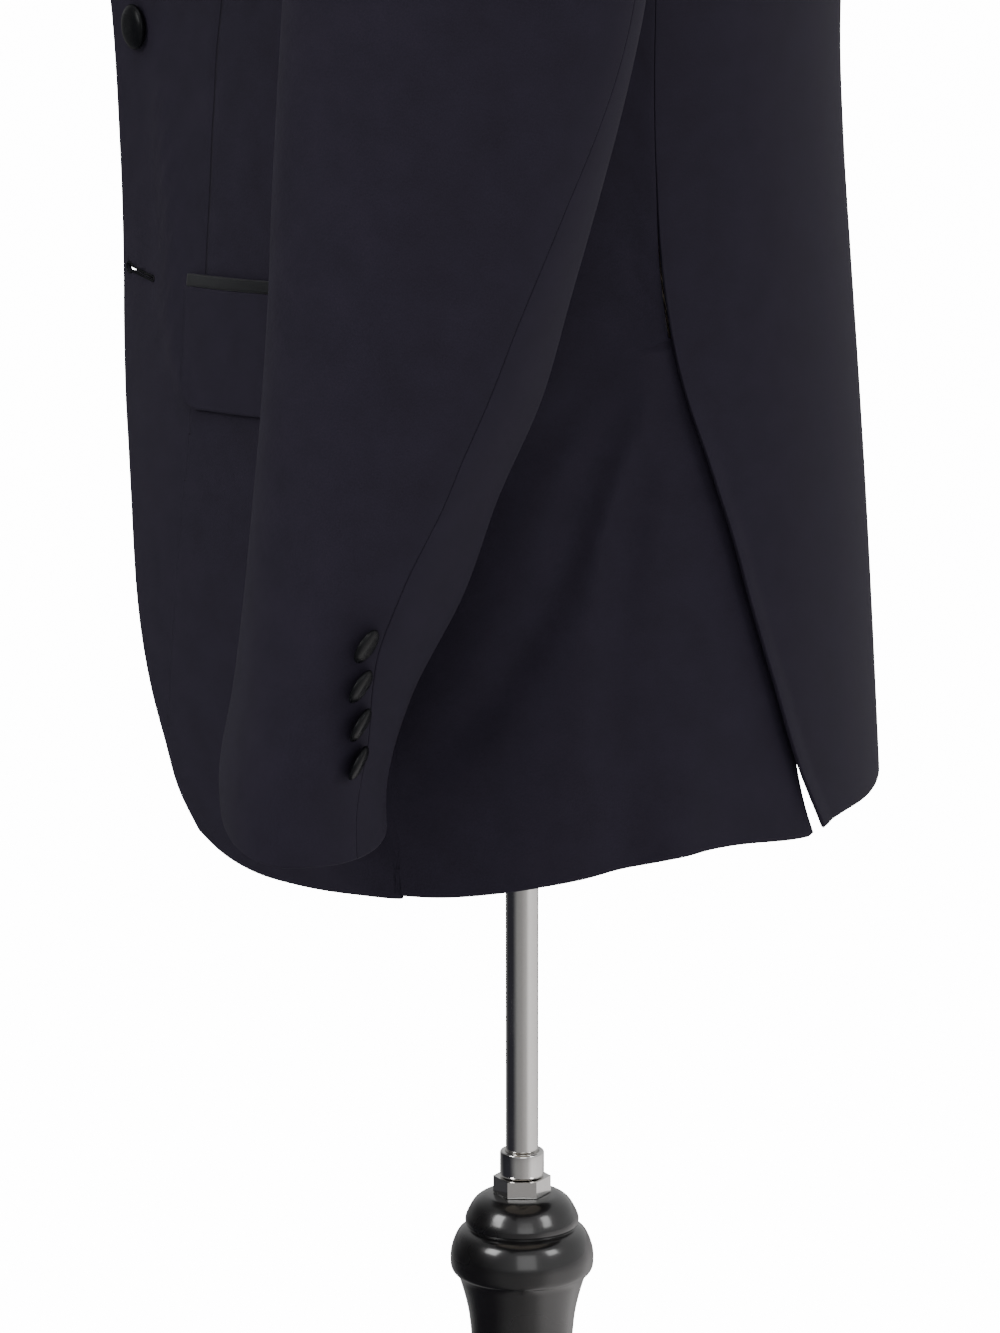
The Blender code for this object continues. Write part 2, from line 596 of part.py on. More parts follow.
def back_grid(across=11, seam_rows=15, rows=23):
    """Turn and level of a back, from the vent and seam to the centre back."""
    seam = seam_run(BACK_SEAM, BACK_NOTCH_ANGLE, BACK_HEM[0][1], seam_rows)
    left = chain(shift(seam, SEAM / 2), armhole_run(BACK_NOTCH_ANGLE, 360, rows - seam_rows + 1))
    right = sample([(180, BACK_HEM[-1][1]), (180, NECK_LEVEL)], rows)
    bottom = hem_run(BACK_HEM, table(BACK_SEAM, BACK_HEM[0][1]), BACK_CENTRE_Y, across)
    shoulder = sample([(90, SHOULDER_LEVEL), (90, NECK_LEVEL)], 7)
    neck = sample([(90, NECK_LEVEL), (180, NECK_LEVEL)], across - 6)
    top = chain(shift(shoulder, SEAM / 2), neck)
    left[-1] = top[0]
    right[:] = shift(right, -SEAM / 2)
    top[-1] = right[-1]
    bottom[0] = left[0]
    bottom[-1] = right[0]
    return patch(left, right, bottom, top)


def side_cloth(turn, level, out=0.0):
    """Point of a side body, whose vent edge lies inside the back."""
    point = body(turn, level)
    edge = table(BACK_SEAM, point[..., 2])
    near = step((point[..., 1] - edge + VENT_EASE_START) / VENT_EASE)
    low = step((VENT_TOP + VENT_RISE - point[..., 2]) / VENT_EASE)
    return cloth(turn, level, out - VENT_DROP * near * low)


def under_front(turn, level, out=0.0):
    """Point on the front that lies inside; past the centre it bends back behind the other front."""
    crossed = np.where(turn < 0, -1.0, 1.0)[..., None] * np.array([1.0, 0.0, 0.0]) + np.array([0.0, 1.0, 1.0])
    point = body(np.abs(turn), level) * crossed
    straight = outward(np.maximum(np.abs(turn), 0.5), level) * crossed
    bent = step(np.abs(turn) / 4)[..., None]
    direction = unit(straight * bent + np.array([0.0, -1.0, 0.0]) * (1 - bent))
    inside = table(CLOSURE_DROP, level) * (1 - step((turn - 3) / 15))
    return point + direction * (out - inside)[..., None]


def fronts():
    turn, level = np.moveaxis(front_grid(), -1, 0)
    sheet("front_left", cloth(turn, level), cloth(turn, level, -WALL), WOOL)
    sheet("front_right", mirrored(under_front(turn, level)), mirrored(under_front(turn, level, -WALL)), WOOL)


def sides_and_backs():
    for name, grid, surface in (("side", side_grid(), side_cloth), ("back", back_grid(), cloth)):
        turn, level = np.moveaxis(grid, -1, 0)
        outer, inner = surface(turn, level, 0.0 * turn), surface(turn, level, -WALL + 0.0 * turn)
        sheet(name + "_left", outer, inner, WOOL)
        sheet(name + "_right", mirrored(outer), mirrored(inner), WOOL)


def lapels():
    rows = 17
    heights = np.linspace(ROLL_START[1] + WALL, GORGE_ROLL_Z, rows)
    rolled = np.array([at_front(roll(z) + ROLL_ROOM, z) for z in heights])
    edge = sample([at_front(x, z) for x, z in LAPEL_EDGE], rows)
    gorge = chain(
        sample([rolled[-1], at_front(*NOTCH)], 5),
        sample([at_front(*NOTCH), edge[-1]], 4),
    )
    foot = sample([rolled[0], edge[0]], len(gorge))
    grid = patch(rolled, edge, foot, gorge)
    turn, level = grid[..., 0], grid[..., 1]
    low, high = SEAM + LAPEL_LIFT, SEAM + LAPEL_LIFT + WALL
    sheet("lapel_left", cloth(turn, level, high), cloth(turn, level, low), SATIN)
    outer, inner = under_front(turn, level, high), under_front(turn, level, low)
    sheet("lapel_right", mirrored(outer), mirrored(inner), SATIN)


def collars():
    rows = 15
    start = at_front(roll(GORGE_ROLL_Z) + ROLL_ROOM, GORGE_ROLL_Z + GORGE_ROOM)
    beside = [at_front(roll(roll_z), z) for roll_z, z in COLLAR_FOLD_FRONT]
    fold = sample([start, *beside, *COLLAR_FOLD_BACK], rows)
    tip = at_front(*COLLAR_TIP)
    outer = sample([tip, at_front(*COLLAR_EDGE_FRONT), *COLLAR_EDGE_BACK], rows)
    notch = at_front(NOTCH[0] + GORGE_ROOM / 2, NOTCH[1] + GORGE_ROOM)
    front_end = chain(sample([start, notch], 5), sample([notch, tip], 4))
    back_end = sample([fold[-1], outer[-1]], len(front_end))
    grid = patch(fold, outer, front_end, back_end)
    turn, level = grid[..., 0], grid[..., 1]
    swell = COLLAR_SWELL * np.sin(np.linspace(0, math.pi, len(front_end)))[None, :]
    faces = []
    for out in (SEAM + LAPEL_LIFT + WALL, SEAM + LAPEL_LIFT):
        half = cloth(turn, level, out + swell * np.ones_like(turn))
        half[-1, :, 0] = 0.0
        faces.append(np.concatenate([half, mirrored(half)[::-1, ::-1][1:]]))
    sheet("collar", *faces, SATIN)
    stand_levels = np.linspace(NECK_LEVEL + 4 * SEAM, FOLD_LEVEL - WALL, 3)
    turn, level = np.meshgrid(np.linspace(COLLAR_STAND_TURN, 180, 9), stand_levels)
    faces = []
    for out in (0.0, -WALL):
        half = cloth(turn, level, out)
        half[:, -1, 0] = 0.0
        faces.append(np.concatenate([half, mirrored(half)[:, 1:]], axis=1))
    sheet("collar_stand", *faces, WOOL)


SLEEVE_ROW = columns(SLEEVE_COLUMNS, SLEEVE)
SLEEVE_FULLNESS = 0.58
SLEEVE_MIDDLE = 0.42


def sleeve_ring(angle, z):
    """Point on the sleeve at a height; angle 0 is outside, 90 in front and 180 next to the body."""
    angle, z = np.broadcast_arrays(np.mod(np.asarray(angle, float), 360), np.asarray(z, float))
    row = {name: smooth(SLEEVE_ROW["z"], column, z) for name, column in SLEEVE_ROW.items()}
    middle = row["y_front"] + SLEEVE_MIDDLE * (row["y_back"] - row["y_front"])
    to_side = np.where((angle < 90) | (angle >= 270), row["x_outer"], row["x_inner"])
    forward = angle < 180
    to_end = np.where(forward, row["y_front"], row["y_back"])
    end_x = np.where(forward, row["x_front"], row["x_back"])
    quarter = np.mod(angle, 180) / 90
    t = np.where(quarter <= 1, quarter, 2 - quarter)
    x = bezier(t, to_side, to_side, end_x + SLEEVE_FULLNESS * (to_side - end_x), end_x)
    y = bezier(t, middle, middle + SLEEVE_FULLNESS * (to_end - middle), to_end, to_end)
    outside = step(np.cos(np.radians(angle)) * 2)
    return np.stack([x + fold_height(y, z, SLEEVE_FOLDS) * outside, y, z], axis=-1)


def sleeve_face(angle, along):
    """Point on the left sleeve's outer face; along is -1 at the armhole, 0 below the crown and 1 at the cuff."""
    angle, along = np.broadcast_arrays(np.asarray(angle, float), np.asarray(along, float))
    hem_angles, hem_heights = zip(*CUFF)
    cuff_z = smooth(hem_angles, hem_heights, np.mod(angle, 360))
    lower = sleeve_ring(angle, SLEEVE_TOP_Z + (cuff_z - SLEEVE_TOP_Z) * np.maximum(along, 0))
    turn, level = armhole(angle, ARMHOLE_CLEARANCE)
    start = cloth(turn, level)
    end = sleeve_ring(angle, SLEEVE_TOP_Z + 0 * angle)
    below = sleeve_ring(angle, SLEEVE_TOP_Z - 0.01 + 0 * angle)
    reach = np.linalg.norm(end - start, axis=-1, keepdims=True)
    crown = (1 + np.cos(np.radians(angle)))[..., None] / 2
    leave = unit(CAP_WAY_LOW * (1 - crown) + CAP_WAY_HIGH * crown) * reach * CAP_PULL_START
    arrive = unit(below - end) * reach * CAP_PULL_END
    t = np.clip(along + 1, 0, 1)[..., None]
    cap = (
        (1 + 2 * t) * (1 - t) ** 2 * start + t * (1 - t) ** 2 * leave
        + t * t * (3 - 2 * t) * end - t * t * (1 - t) * arrive
    )
    return np.where((along < 0)[..., None], cap, lower)


def sleeve(angle, along, out=0.0):
    """Point on the left sleeve, moved out of its outer face."""
    turn_step = 0.5
    along_step = 0.004
    across = sleeve_face(angle + turn_step, along) - sleeve_face(angle - turn_step, along)
    low, high = np.minimum(along + along_step, 1), np.maximum(along - along_step, -1)
    down = sleeve_face(angle, low) - sleeve_face(angle, high)
    return sleeve_face(angle, along) + unit(np.cross(across, down)) * out


def elbow_angle(along):
    """Angle of the elbow seam along the sleeve."""
    angles = np.linspace(-89, -1, 177)
    stations, values = [-1.0, 0.0], [ARMHOLE_ELBOW_ANGLE, -70.0]
    for z, y in reversed(ELBOW_SEAM):
        ring = sleeve_ring(angles, z + 0 * angles)
        stations.append((SLEEVE_TOP_Z - z) / (SLEEVE_TOP_Z - CUFF[0][1]))
        values.append(np.interp(-y, -ring[:, 1], angles))
    return smooth(stations, values, along)


def sleeve_gap(angle, along):
    """Half a seam's gap on the sleeve, as an angle."""
    probe = 1.0
    ahead, behind = sleeve_face(angle + probe, along), sleeve_face(angle - probe, along)
    return SEAM / np.linalg.norm(ahead - behind, axis=-1) * probe


def sleeves():
    along = np.concatenate([np.linspace(-1, 0, 7), np.linspace(0, 1, 14)[1:]])
    elbow = elbow_angle(along)
    for name, start, end, across in (
        ("sleeve_top", elbow, 0 * elbow + FOREARM_ANGLE, 11),
        ("sleeve_under", 0 * elbow + FOREARM_ANGLE, elbow + 360, 8),
    ):
        low = (start + sleeve_gap(start, along))[:, None]
        high = (end - sleeve_gap(end, along))[:, None]
        angle = low + (high - low) * np.linspace(0, 1, across)[None, :]
        places = along[:, None] + 0 * angle
        outer, inner = sleeve(angle, places), sleeve(angle, places, -WALL)
        sheet(name + "_left", outer, inner, WOOL)
        sheet(name + "_right", mirrored(outer), mirrored(inner), WOOL)


def pockets():
    turn, level = at_side(FLAP_FRONT_Y, FLAP_TOP)
    start = np.interp(turn, TURNS, ROUND[:, np.searchsorted(LEVELS, level)])
    corner = FLAP_CORNER
    places = np.concatenate([[0, CORNER_BEND * corner], np.linspace(corner, FLAP_LENGTH - corner, 9)])
    places = np.concatenate([places, [FLAP_LENGTH - CORNER_BEND * corner, FLAP_LENGTH]])
    inset = np.maximum(np.maximum(corner - places, places - FLAP_LENGTH + corner), 0)
    bottom = FLAP_TOP - FLAP_DEPTH + corner - np.sqrt(corner ** 2 - inset ** 2)
    low = SEAM + POCKET_LIFT
    flap = ([], [])
    for share in np.linspace(1, 0, 4):
        heights = FLAP_TOP + (bottom - FLAP_TOP) * share
        row = np.array([
            at_round(start + place + FLAP_SLANT * (FLAP_TOP - z), z + FLAP_RISE * place)
            for place, z in zip(places, heights)
        ])
        flap[0].append(cloth(row[:, 0], row[:, 1], low + WALL))
        flap[1].append(cloth(row[:, 0], row[:, 1], low))
    jet = ([], [])
    for z in (FLAP_TOP + SEAM, FLAP_TOP + SEAM + JET_HEIGHT):
        row = np.array([at_round(start + place, z + FLAP_RISE * place) for place in places])
        jet[0].append(cloth(row[:, 0], row[:, 1], low + JET_WALL))
        jet[1].append(cloth(row[:, 0], row[:, 1], low))
    for name, (outer, inner), finish in (("flap", flap, WOOL), ("jet", jet, SATIN)):
        sheet(name + "_left", np.array(outer), np.array(inner), finish)
        sheet(name + "_right", mirrored(np.array(outer)), mirrored(np.array(inner)), finish)


def turned(name, profile, finish, steps):
    """A solid turned about its own Z axis; the profile runs down its outer side."""
    mesh = bpy.data.meshes.new(name)
    edges = [(i, i + 1) for i in range(len(profile) - 1)]
    mesh.from_pydata([(radius, 0, z) for radius, z in profile], edges, [])
    made = add(name, mesh, finish)
    lathe = made.modifiers.new("lathe", "SCREW")
    lathe.axis = "Z"
    lathe.angle = math.tau
    lathe.steps = steps
    lathe.render_steps = steps
    lathe.use_merge_vertices = True
    lathe.merge_threshold = 0.00005
    lathe.use_smooth_shade = True
    return made


def button(name, centre, normal, diameter, thick, steps):
    """A covered button on the face whose point and direction are given."""
    radius = diameter / 2
    profile = (
        (0, thick), (radius * 0.55, thick * 0.95), (radius * 0.85, thick * 0.72), (radius, thick * 0.42),
        (radius * 0.94, thick * 0.12), (radius * 0.70, 0), (0, 0),
    )
    made = turned(name, profile, BUTTON, steps)
    made.rotation_mode = "QUATERNION"
    made.rotation_quaternion = Vector(normal).to_track_quat("Z", "Y")
    made.location = centre
    return made


def front_buttons():
    upper, lower = FRONT_BUTTON_HEIGHTS
    turn = np.array(0.0)
    seat = cloth(turn, np.array(upper), BUTTON_SEAT)
    facing_out = outward(turn + 0.5, np.array(upper))
    button("button_front_upper", seat, facing_out, FRONT_BUTTON, FRONT_BUTTON_THICK, 16)
    seat = under_front(turn, np.array(lower), BUTTON_SEAT)
    button("button_front_lower", seat, (0, -1, 0), FRONT_BUTTON, FRONT_BUTTON_THICK, 16)


def cuff_buttons():
    angles = np.linspace(-89, -1, 177)
    for number, z in enumerate(CUFF_BUTTON_HEIGHTS, start=1):
        ring = sleeve_ring(angles, z + 0 * angles)
        along = (SLEEVE_TOP_Z - z) / (SLEEVE_TOP_Z - CUFF[0][1])
        elbow = elbow_angle(along)
        edge = sleeve_ring(elbow, z)
        distance = np.linalg.norm(ring - edge, axis=1) + 1.0 * (angles < elbow)
        angle = angles[np.argmin(np.abs(distance - CUFF_BUTTON_INSET))]
        seat = sleeve_ring(angle, z)
        ahead = sleeve_ring(angle + 4, z)
        behind = sleeve_ring(angle - 4, z)
        over = sleeve_ring(angle, z + 0.005)
        normal = unit(np.cross(ahead - behind, seat - over))
        centre = seat + normal * SEAM
        for side, flip in (("left", 1), ("right", -1)):
            mirror = np.array([flip, 1, 1])
            name = f"button_cuff_{side}_{number}"
            button(name, centre * mirror, normal * mirror, CUFF_BUTTON, CUFF_BUTTON_THICK, 12)


def form():
    """The dress form: smooth, with rounded shoulder ends and a short neck."""
    half = np.linspace(0, 180, 15)
    rings = [section_point(half, row[0], columns(SECTION_COLUMNS, FORM_SECTIONS)) for row in FORM_SECTIONS]
    ridge = np.exp(-((half - 90) / RIDGE_WIDTH) ** 2)
    for level, rest in SHOULDER_RINGS:
        inside = WALL + FORM_CLEARANCE + FORM_EASE * (1 - rest * ridge)
        rings.append(cloth(half, level + 0 * half, -inside))
    rings += [section_point(half, row[0], columns(SECTION_COLUMNS, NECK_SECTIONS)) for row in NECK_SECTIONS]
    mesh = bpy.data.meshes.new("form_torso")
    made = bmesh.new()
    loops = []
    for points in rings:
        points[0, 0] = points[-1, 0] = 0.0
        whole = np.concatenate([points, points[-2:0:-1] * np.array([-1.0, 1.0, 1.0])])
        loops.append([made.verts.new(point) for point in whole])
    count = len(loops[0])
    for low, high in zip(loops, loops[1:]):
        for i in range(count):
            made.faces.new((low[i], low[(i + 1) % count], high[(i + 1) % count], high[i]))
    made.faces.new(loops[0][::-1])
    made.faces.new(loops[-1])
    made.to_mesh(mesh)
    made.free()
    mesh.shade_smooth()
    torso = add("form_torso", mesh, LINEN)
    cut_bore(torso, FORM_BOTTOM - 0.05, POLE_TOP + 0.001)


def cut_bore(target, bottom, top):
    """Cut the pole's bore through a solid between two heights."""
    bore = bpy.data.objects.new(target.name + "_bore", bpy.data.meshes.new(target.name + "_bore"))
    radius = POLE_RADIUS + BORE_CLEARANCE
    shape = bmesh.new()
    bmesh.ops.create_cone(
        shape, cap_ends=True, segments=24, radius1=radius, radius2=radius, depth=top - bottom,
    )
    shape.to_mesh(bore.data)
    shape.free()
    bore.location = (0, 0, (bottom + top) / 2)
    bore.hide_render = True
    bore.display_type = "WIRE"
    CUTTERS.objects.link(bore)
    cut = target.modifiers.new("bore", "BOOLEAN")
    cut.operation = "DIFFERENCE"
    cut.object = bore
    cut.solver = "EXACT"


def stand():
    turned("pole", (
        (0, POLE_TOP), (POLE_RADIUS, POLE_TOP), (POLE_RADIUS, POLE_BOTTOM), (0, POLE_BOTTOM),
    ), CHROME, 24)
    bore = POLE_RADIUS + BORE_CLEARANCE
    turned("collar_fitting", (
        (bore, FITTING_BOTTOM), (bore, FITTING_TOP), (FITTING_RADIUS - 0.001, FITTING_TOP),
        (FITTING_RADIUS, FITTING_TOP - 0.001), (FITTING_RADIUS, FITTING_BOTTOM), (bore, FITTING_BOTTOM),
    ), CHROME, 24)
    corner = NUT_FLATS / 2 / math.cos(math.pi / 6)
    nut = add("hex_nut", bpy.data.meshes.new("hex_nut"), CHROME)
    shape = bmesh.new()
    bmesh.ops.create_cone(
        shape, cap_ends=True, segments=6, radius1=corner, radius2=corner, depth=NUT_TOP - NUT_BOTTOM,
    )
    shape.to_mesh(nut.data)
    shape.free()
    nut.location = (0, 0, (NUT_TOP + NUT_BOTTOM) / 2)
    cut_bore(nut, NUT_BOTTOM - 0.01, NUT_TOP + 0.01)
    turned("column", (
        (0, BORE_FLOOR), (bore, BORE_FLOOR), (bore, COLUMN_PROFILE[0][1]), *COLUMN_PROFILE,
        (0, COLUMN_PROFILE[-1][1]),
    ), BLACK_WOOD, COLUMN_STEPS)


def legs():
    top = [(r, z) for r, z in zip(
        np.linspace(LEG_JOIN, LEG_TOE, 11),
        smooth(*zip(*LEG_OUTLINE_TOP), np.linspace(LEG_JOIN, LEG_TOE, 11)),
    )]
    under_r, under_z = zip(*reversed(LEG_OUTLINE_UNDER))
    places = np.linspace(FOOT_INSIDE, LEG_JOIN, 10)
    under = [(r, z) for r, z in zip(places, smooth(under_r, under_z, places))]
    outline = top + [(LEG_TOE, 0.0)] + under
    for name, azimuth in (("leg_left", 0), ("leg_back_right", 120), ("leg_front_right", 240)):
        data = bpy.data.curves.new(name, "CURVE")
        data.dimensions = "2D"
        data.fill_mode = "BOTH"
        data.extrude = LEG_THICK / 2
        line = data.splines.new("POLY")
        line.points.add(len(outline) - 1)
        for point, (r, z) in zip(line.points, outline):
            point.co = (r, z, 0, 1)
        line.use_cyclic_u = True
        data.materials.append(BLACK_WOOD)
        made = bpy.data.objects.new(name, data)
        made.rotation_euler = (math.pi / 2, 0, math.radians(azimuth))
        PART.objects.link(made)


fronts()
sides_and_backs()
lapels()
collars()
sleeves()
pockets()
front_buttons()
cuff_buttons()
form()
stand()
legs()
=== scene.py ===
"""Looks of a tuxedo jacket worn by a limbless dress form on a turned wooden stand.

Metres, +Z up, in the frame of the solids. The jacket's front faces -Y and the
wearer's left is +X. The sections follow the way the object is put together.
"""

import math

import bpy
import numpy as np
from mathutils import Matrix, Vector


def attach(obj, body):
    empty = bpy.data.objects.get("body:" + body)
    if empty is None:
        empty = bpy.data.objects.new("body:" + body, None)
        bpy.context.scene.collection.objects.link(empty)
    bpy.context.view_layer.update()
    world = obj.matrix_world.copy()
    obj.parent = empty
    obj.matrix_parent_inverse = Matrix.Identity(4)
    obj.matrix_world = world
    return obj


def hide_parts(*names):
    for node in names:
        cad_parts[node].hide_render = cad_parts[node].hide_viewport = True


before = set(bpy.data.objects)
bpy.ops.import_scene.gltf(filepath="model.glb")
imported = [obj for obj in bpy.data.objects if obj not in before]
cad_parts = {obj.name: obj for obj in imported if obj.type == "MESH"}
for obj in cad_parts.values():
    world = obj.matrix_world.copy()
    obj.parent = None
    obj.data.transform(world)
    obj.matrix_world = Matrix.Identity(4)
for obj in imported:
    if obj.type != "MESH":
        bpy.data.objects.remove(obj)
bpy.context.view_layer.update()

# Studio: a camera square to the wearer's left side with a long lens, on a pale
# seamless floor, with broad soft lights in front, behind and above, and a weak
# one beside the camera.
CAMERA_PLACE = (2.2, 0.0, 1.28)
CAMERA_PITCH = 12.0
CAMERA_LENS = 135.0
POLE_PIXEL_SHIFT = 22 / 1333
camera = bpy.data.objects.new("camera", bpy.data.cameras.new("camera"))
bpy.context.scene.collection.objects.link(camera)
bpy.context.scene.camera = camera
camera.location = CAMERA_PLACE
camera.rotation_euler = (math.radians(90 - CAMERA_PITCH), 0, math.radians(90))
camera.data.lens = CAMERA_LENS
camera.data.sensor_width = 36.0
camera.data.sensor_fit = "AUTO"
camera.data.shift_x = -POLE_PIXEL_SHIFT
camera.data.clip_end = 200.0


def linked(name, data):
    """A new object in the scene."""
    made = bpy.data.objects.new(name, data)
    bpy.context.scene.collection.objects.link(made)
    return made


def soft_light(name, azimuth, elevation, distance, size, power):
    """A square light that looks at the jacket; azimuth 0 is the camera's side, and the back is at 90."""
    data = bpy.data.lights.new(name, "AREA")
    data.shape = "SQUARE"
    data.size = size
    data.energy = power
    made = linked(name, data)
    across, up = math.radians(azimuth), math.radians(elevation)
    place = LIGHT_TARGET + distance * Vector((
        math.cos(across) * math.cos(up), math.sin(across) * math.cos(up), math.sin(up),
    ))
    made.location = place
    made.rotation_euler = (LIGHT_TARGET - place).to_track_quat("-Z", "Y").to_euler()


LIGHT_TARGET = Vector((0.0, 0.0, 0.95))
soft_light("light_front", -58, 30, 3.0, 1.1, 36)
soft_light("light_back", 58, 28, 3.2, 1.0, 20)
soft_light("light_top", -10, 78, 2.8, 1.8, 34)
soft_light("light_fill", 8, 14, 3.6, 2.0, 15)

FLOOR_SIZE = 120.0
FLOOR_DROP = -0.0005
floor_mesh = bpy.data.meshes.new("floor")
half_floor = FLOOR_SIZE / 2
floor_mesh.from_pydata(
    [(x * half_floor, y * half_floor, 0) for x, y in ((-1, -1), (1, -1), (1, 1), (-1, 1))], [], [(0, 1, 2, 3)],
)
floor = linked("floor", floor_mesh)
floor.location.z = FLOOR_DROP


def finish(name, **constants):
    """A new material with its node tree and its shader; underscores stand for spaces in its values' names."""
    made = bpy.data.materials.new(name)
    made.use_nodes = True
    shader = made.node_tree.nodes["Principled BSDF"]
    for label, value in constants.items():
        shader.inputs[label.replace("_", " ")].default_value = value
    return made, made.node_tree, shader


def feed(tree, socket, value):
    """Link a socket to another one, or set its value."""
    if isinstance(value, bpy.types.NodeSocket):
        tree.links.new(value, socket)
    else:
        socket.default_value = value


def maths(tree, operation, *values):
    """Result of a Math node on sockets and numbers."""
    node = tree.nodes.new("ShaderNodeMath")
    node.operation = operation
    for socket, value in zip(node.inputs, values):
        feed(tree, socket, value)
    return node.outputs[0]


def noise(tree, place, scale, detail=2.0):
    """Soft random pattern from 0 to 1 at a number of cells a metre."""
    node = tree.nodes.new("ShaderNodeTexNoise")
    feed(tree, node.inputs["Vector"], place)
    feed(tree, node.inputs["Scale"], scale)
    node.inputs["Detail"].default_value = detail
    return node.outputs["Fac"]


def blend_colours(tree, share, low, high):
    """Colour between two, by a share from 0 to 1."""
    node = tree.nodes.new("ShaderNodeMix")
    node.data_type = "RGBA"
    feed(tree, node.inputs[0], share)
    node.inputs[6].default_value = (*low, 1.0)
    node.inputs[7].default_value = (*high, 1.0)
    return node.outputs[2]


def axes(tree, vector):
    """X, Y and Z of a vector."""
    node = tree.nodes.new("ShaderNodeSeparateXYZ")
    feed(tree, node.inputs[0], vector)
    return node.outputs


def ramp(tree, share, stops):
    """Colour by a share, from stops of position and colour."""
    node = tree.nodes.new("ShaderNodeValToRGB")
    made = node.color_ramp.elements
    for number, (position, colour) in enumerate(stops):
        stop = made[number] if number < 2 else made.new(position)
        stop.position = position
        stop.color = (*colour, 1)
    feed(tree, node.inputs[0], share)
    return node.outputs["Color"]


def either(tree, share, plain, other):
    """The plain shader where the share is 0 and the other where it is 1."""
    node = tree.nodes.new("ShaderNodeMixShader")
    for socket, value in zip(node.inputs, (share, plain, other)):
        feed(tree, socket, value)
    return node.outputs[0]


def object_place(tree):
    """Place on the piece in metres."""
    return tree.nodes.new("ShaderNodeTexCoord").outputs["Object"]


BACKDROP_COLOUR = (1.0, 0.995, 1.0, 1.0)
BACKDROP_STRENGTH = 14.0
FLOOR_IN_TENT = (
    (0.04, (0.02, 0.02, 0.024)), (0.22, (0.16, 0.16, 0.155)), (0.50, (0.21, 0.2037, 0.1953)),
    (0.75, (0.34, 0.3298, 0.3162)), (0.90, (0.74, 0.7178, 0.6882)),
)
pale_floor, tree, shader = finish("pale_floor", Roughness=0.9, Emission_Color=BACKDROP_COLOUR)
mottle = noise(tree, object_place(tree), 1.5)
feed(tree, shader.inputs["Base Color"], blend_colours(tree, mottle, (0.88, 0.88, 0.885), (0.92, 0.92, 0.925)))
rays = tree.nodes.new("ShaderNodeLightPath")
shown = maths(tree, "MULTIPLY", rays.outputs["Is Camera Ray"], BACKDROP_STRENGTH)
feed(tree, shader.inputs["Emission Strength"], shown)
# What shines sees the floor with painted shade instead: darker towards the front and paler towards the back, standing
# in for the open side of a light tent.
away = tree.nodes.new("ShaderNodeVectorMath")
away.operation = "NORMALIZE"
feed(tree, away.inputs[0], object_place(tree))
floor_painted_shade = tree.nodes.new("ShaderNodeBsdfDiffuse")
back_share = maths(tree, "MULTIPLY_ADD", axes(tree, away.outputs[0])["Y"], 0.5, 0.5)
feed(tree, floor_painted_shade.inputs["Color"], ramp(tree, back_share, FLOOR_IN_TENT))
feed(tree, tree.nodes["Material Output"].inputs["Surface"], either(
    tree, rays.outputs["Is Glossy Ray"], shader.outputs[0], floor_painted_shade.outputs[0],
))
floor_mesh.materials.append(pale_floor)

# Surround: pale to the eye; what shines sees it darker towards the front, as in
# a room with a light tent that is open there.
TENT = ((0.02, (0.03, 0.03, 0.032)), (0.30, (0.55, 0.55, 0.56)), (0.75, (0.85, 0.85, 0.85)))
TENT_STRENGTH = 0.75
DAYLIGHT_COLOUR = (0.95, 0.95, 1.0, 1.0)
DAYLIGHT_STRENGTH = 1.18
surround = bpy.data.worlds.new("surround")
bpy.context.scene.world = surround
surround.use_nodes = True
tree = surround.node_tree
tree.nodes.clear()


def glow(colour, strength):
    """Light of one colour, or of a linked one, from all round."""
    node = tree.nodes.new("ShaderNodeBackground")
    feed(tree, node.inputs["Color"], colour)
    node.inputs["Strength"].default_value = strength
    return node.outputs[0]


sky_way = axes(tree, tree.nodes.new("ShaderNodeTexCoord").outputs["Generated"])
tent = ramp(tree, maths(tree, "MULTIPLY_ADD", sky_way["Y"], 0.5, 0.5), TENT)
rays = tree.nodes.new("ShaderNodeLightPath")
lighting = either(
    tree, rays.outputs["Is Diffuse Ray"], glow(tent, TENT_STRENGTH), glow(DAYLIGHT_COLOUR, DAYLIGHT_STRENGTH),
)
feed(tree, tree.nodes.new("ShaderNodeOutputWorld").inputs["Surface"], either(
    tree, rays.outputs["Is Camera Ray"], lighting, glow(BACKDROP_COLOUR, BACKDROP_STRENGTH),
))

# Column of the stand: hardwood turned to two beads, a long neck and a vase,
# bored for the pole, under several coats of gloss black lacquer.


def effect(name, inputs, outputs):
    """An empty shader group with named sockets, and its two end nodes."""
    group = bpy.data.node_groups.new(name, "ShaderNodeTree")
    for label, kind, value in inputs:
        socket = group.interface.new_socket(label, in_out="INPUT", socket_type=kind)
        if value is not None:
            socket.default_value = value
    for label in outputs:
        group.interface.new_socket(label, in_out="OUTPUT", socket_type="NodeSocketFloat")
    return group, group.nodes.new("NodeGroupInput"), group.nodes.new("NodeGroupOutput")


handling, start, end = effect(
    "handling_marks", [("Place", "NodeSocketVector", None), ("Cells a metre", "NodeSocketFloat", 30.0)],
    ["Smudge", "Dust"],
)
broad = noise(handling, start.outputs["Place"], start.outputs["Cells a metre"])
smudge = maths(handling, "SUBTRACT", broad, 0.45)
feed(handling, end.inputs["Smudge"], maths(handling, "SMOOTH_MAX", smudge, 0.0, 0.1))
feed(handling, end.inputs["Dust"], noise(handling, start.outputs["Place"], 900.0))


def place_effect(tree, group, **values):
    """Put a shader group in a material with its own values; spaces in socket names are underscores here."""
    node = tree.nodes.new("ShaderNodeGroup")
    node.node_tree = group
    for label, value in values.items():
        feed(tree, node.inputs[label.replace("_", " ")], value)
    return node.outputs


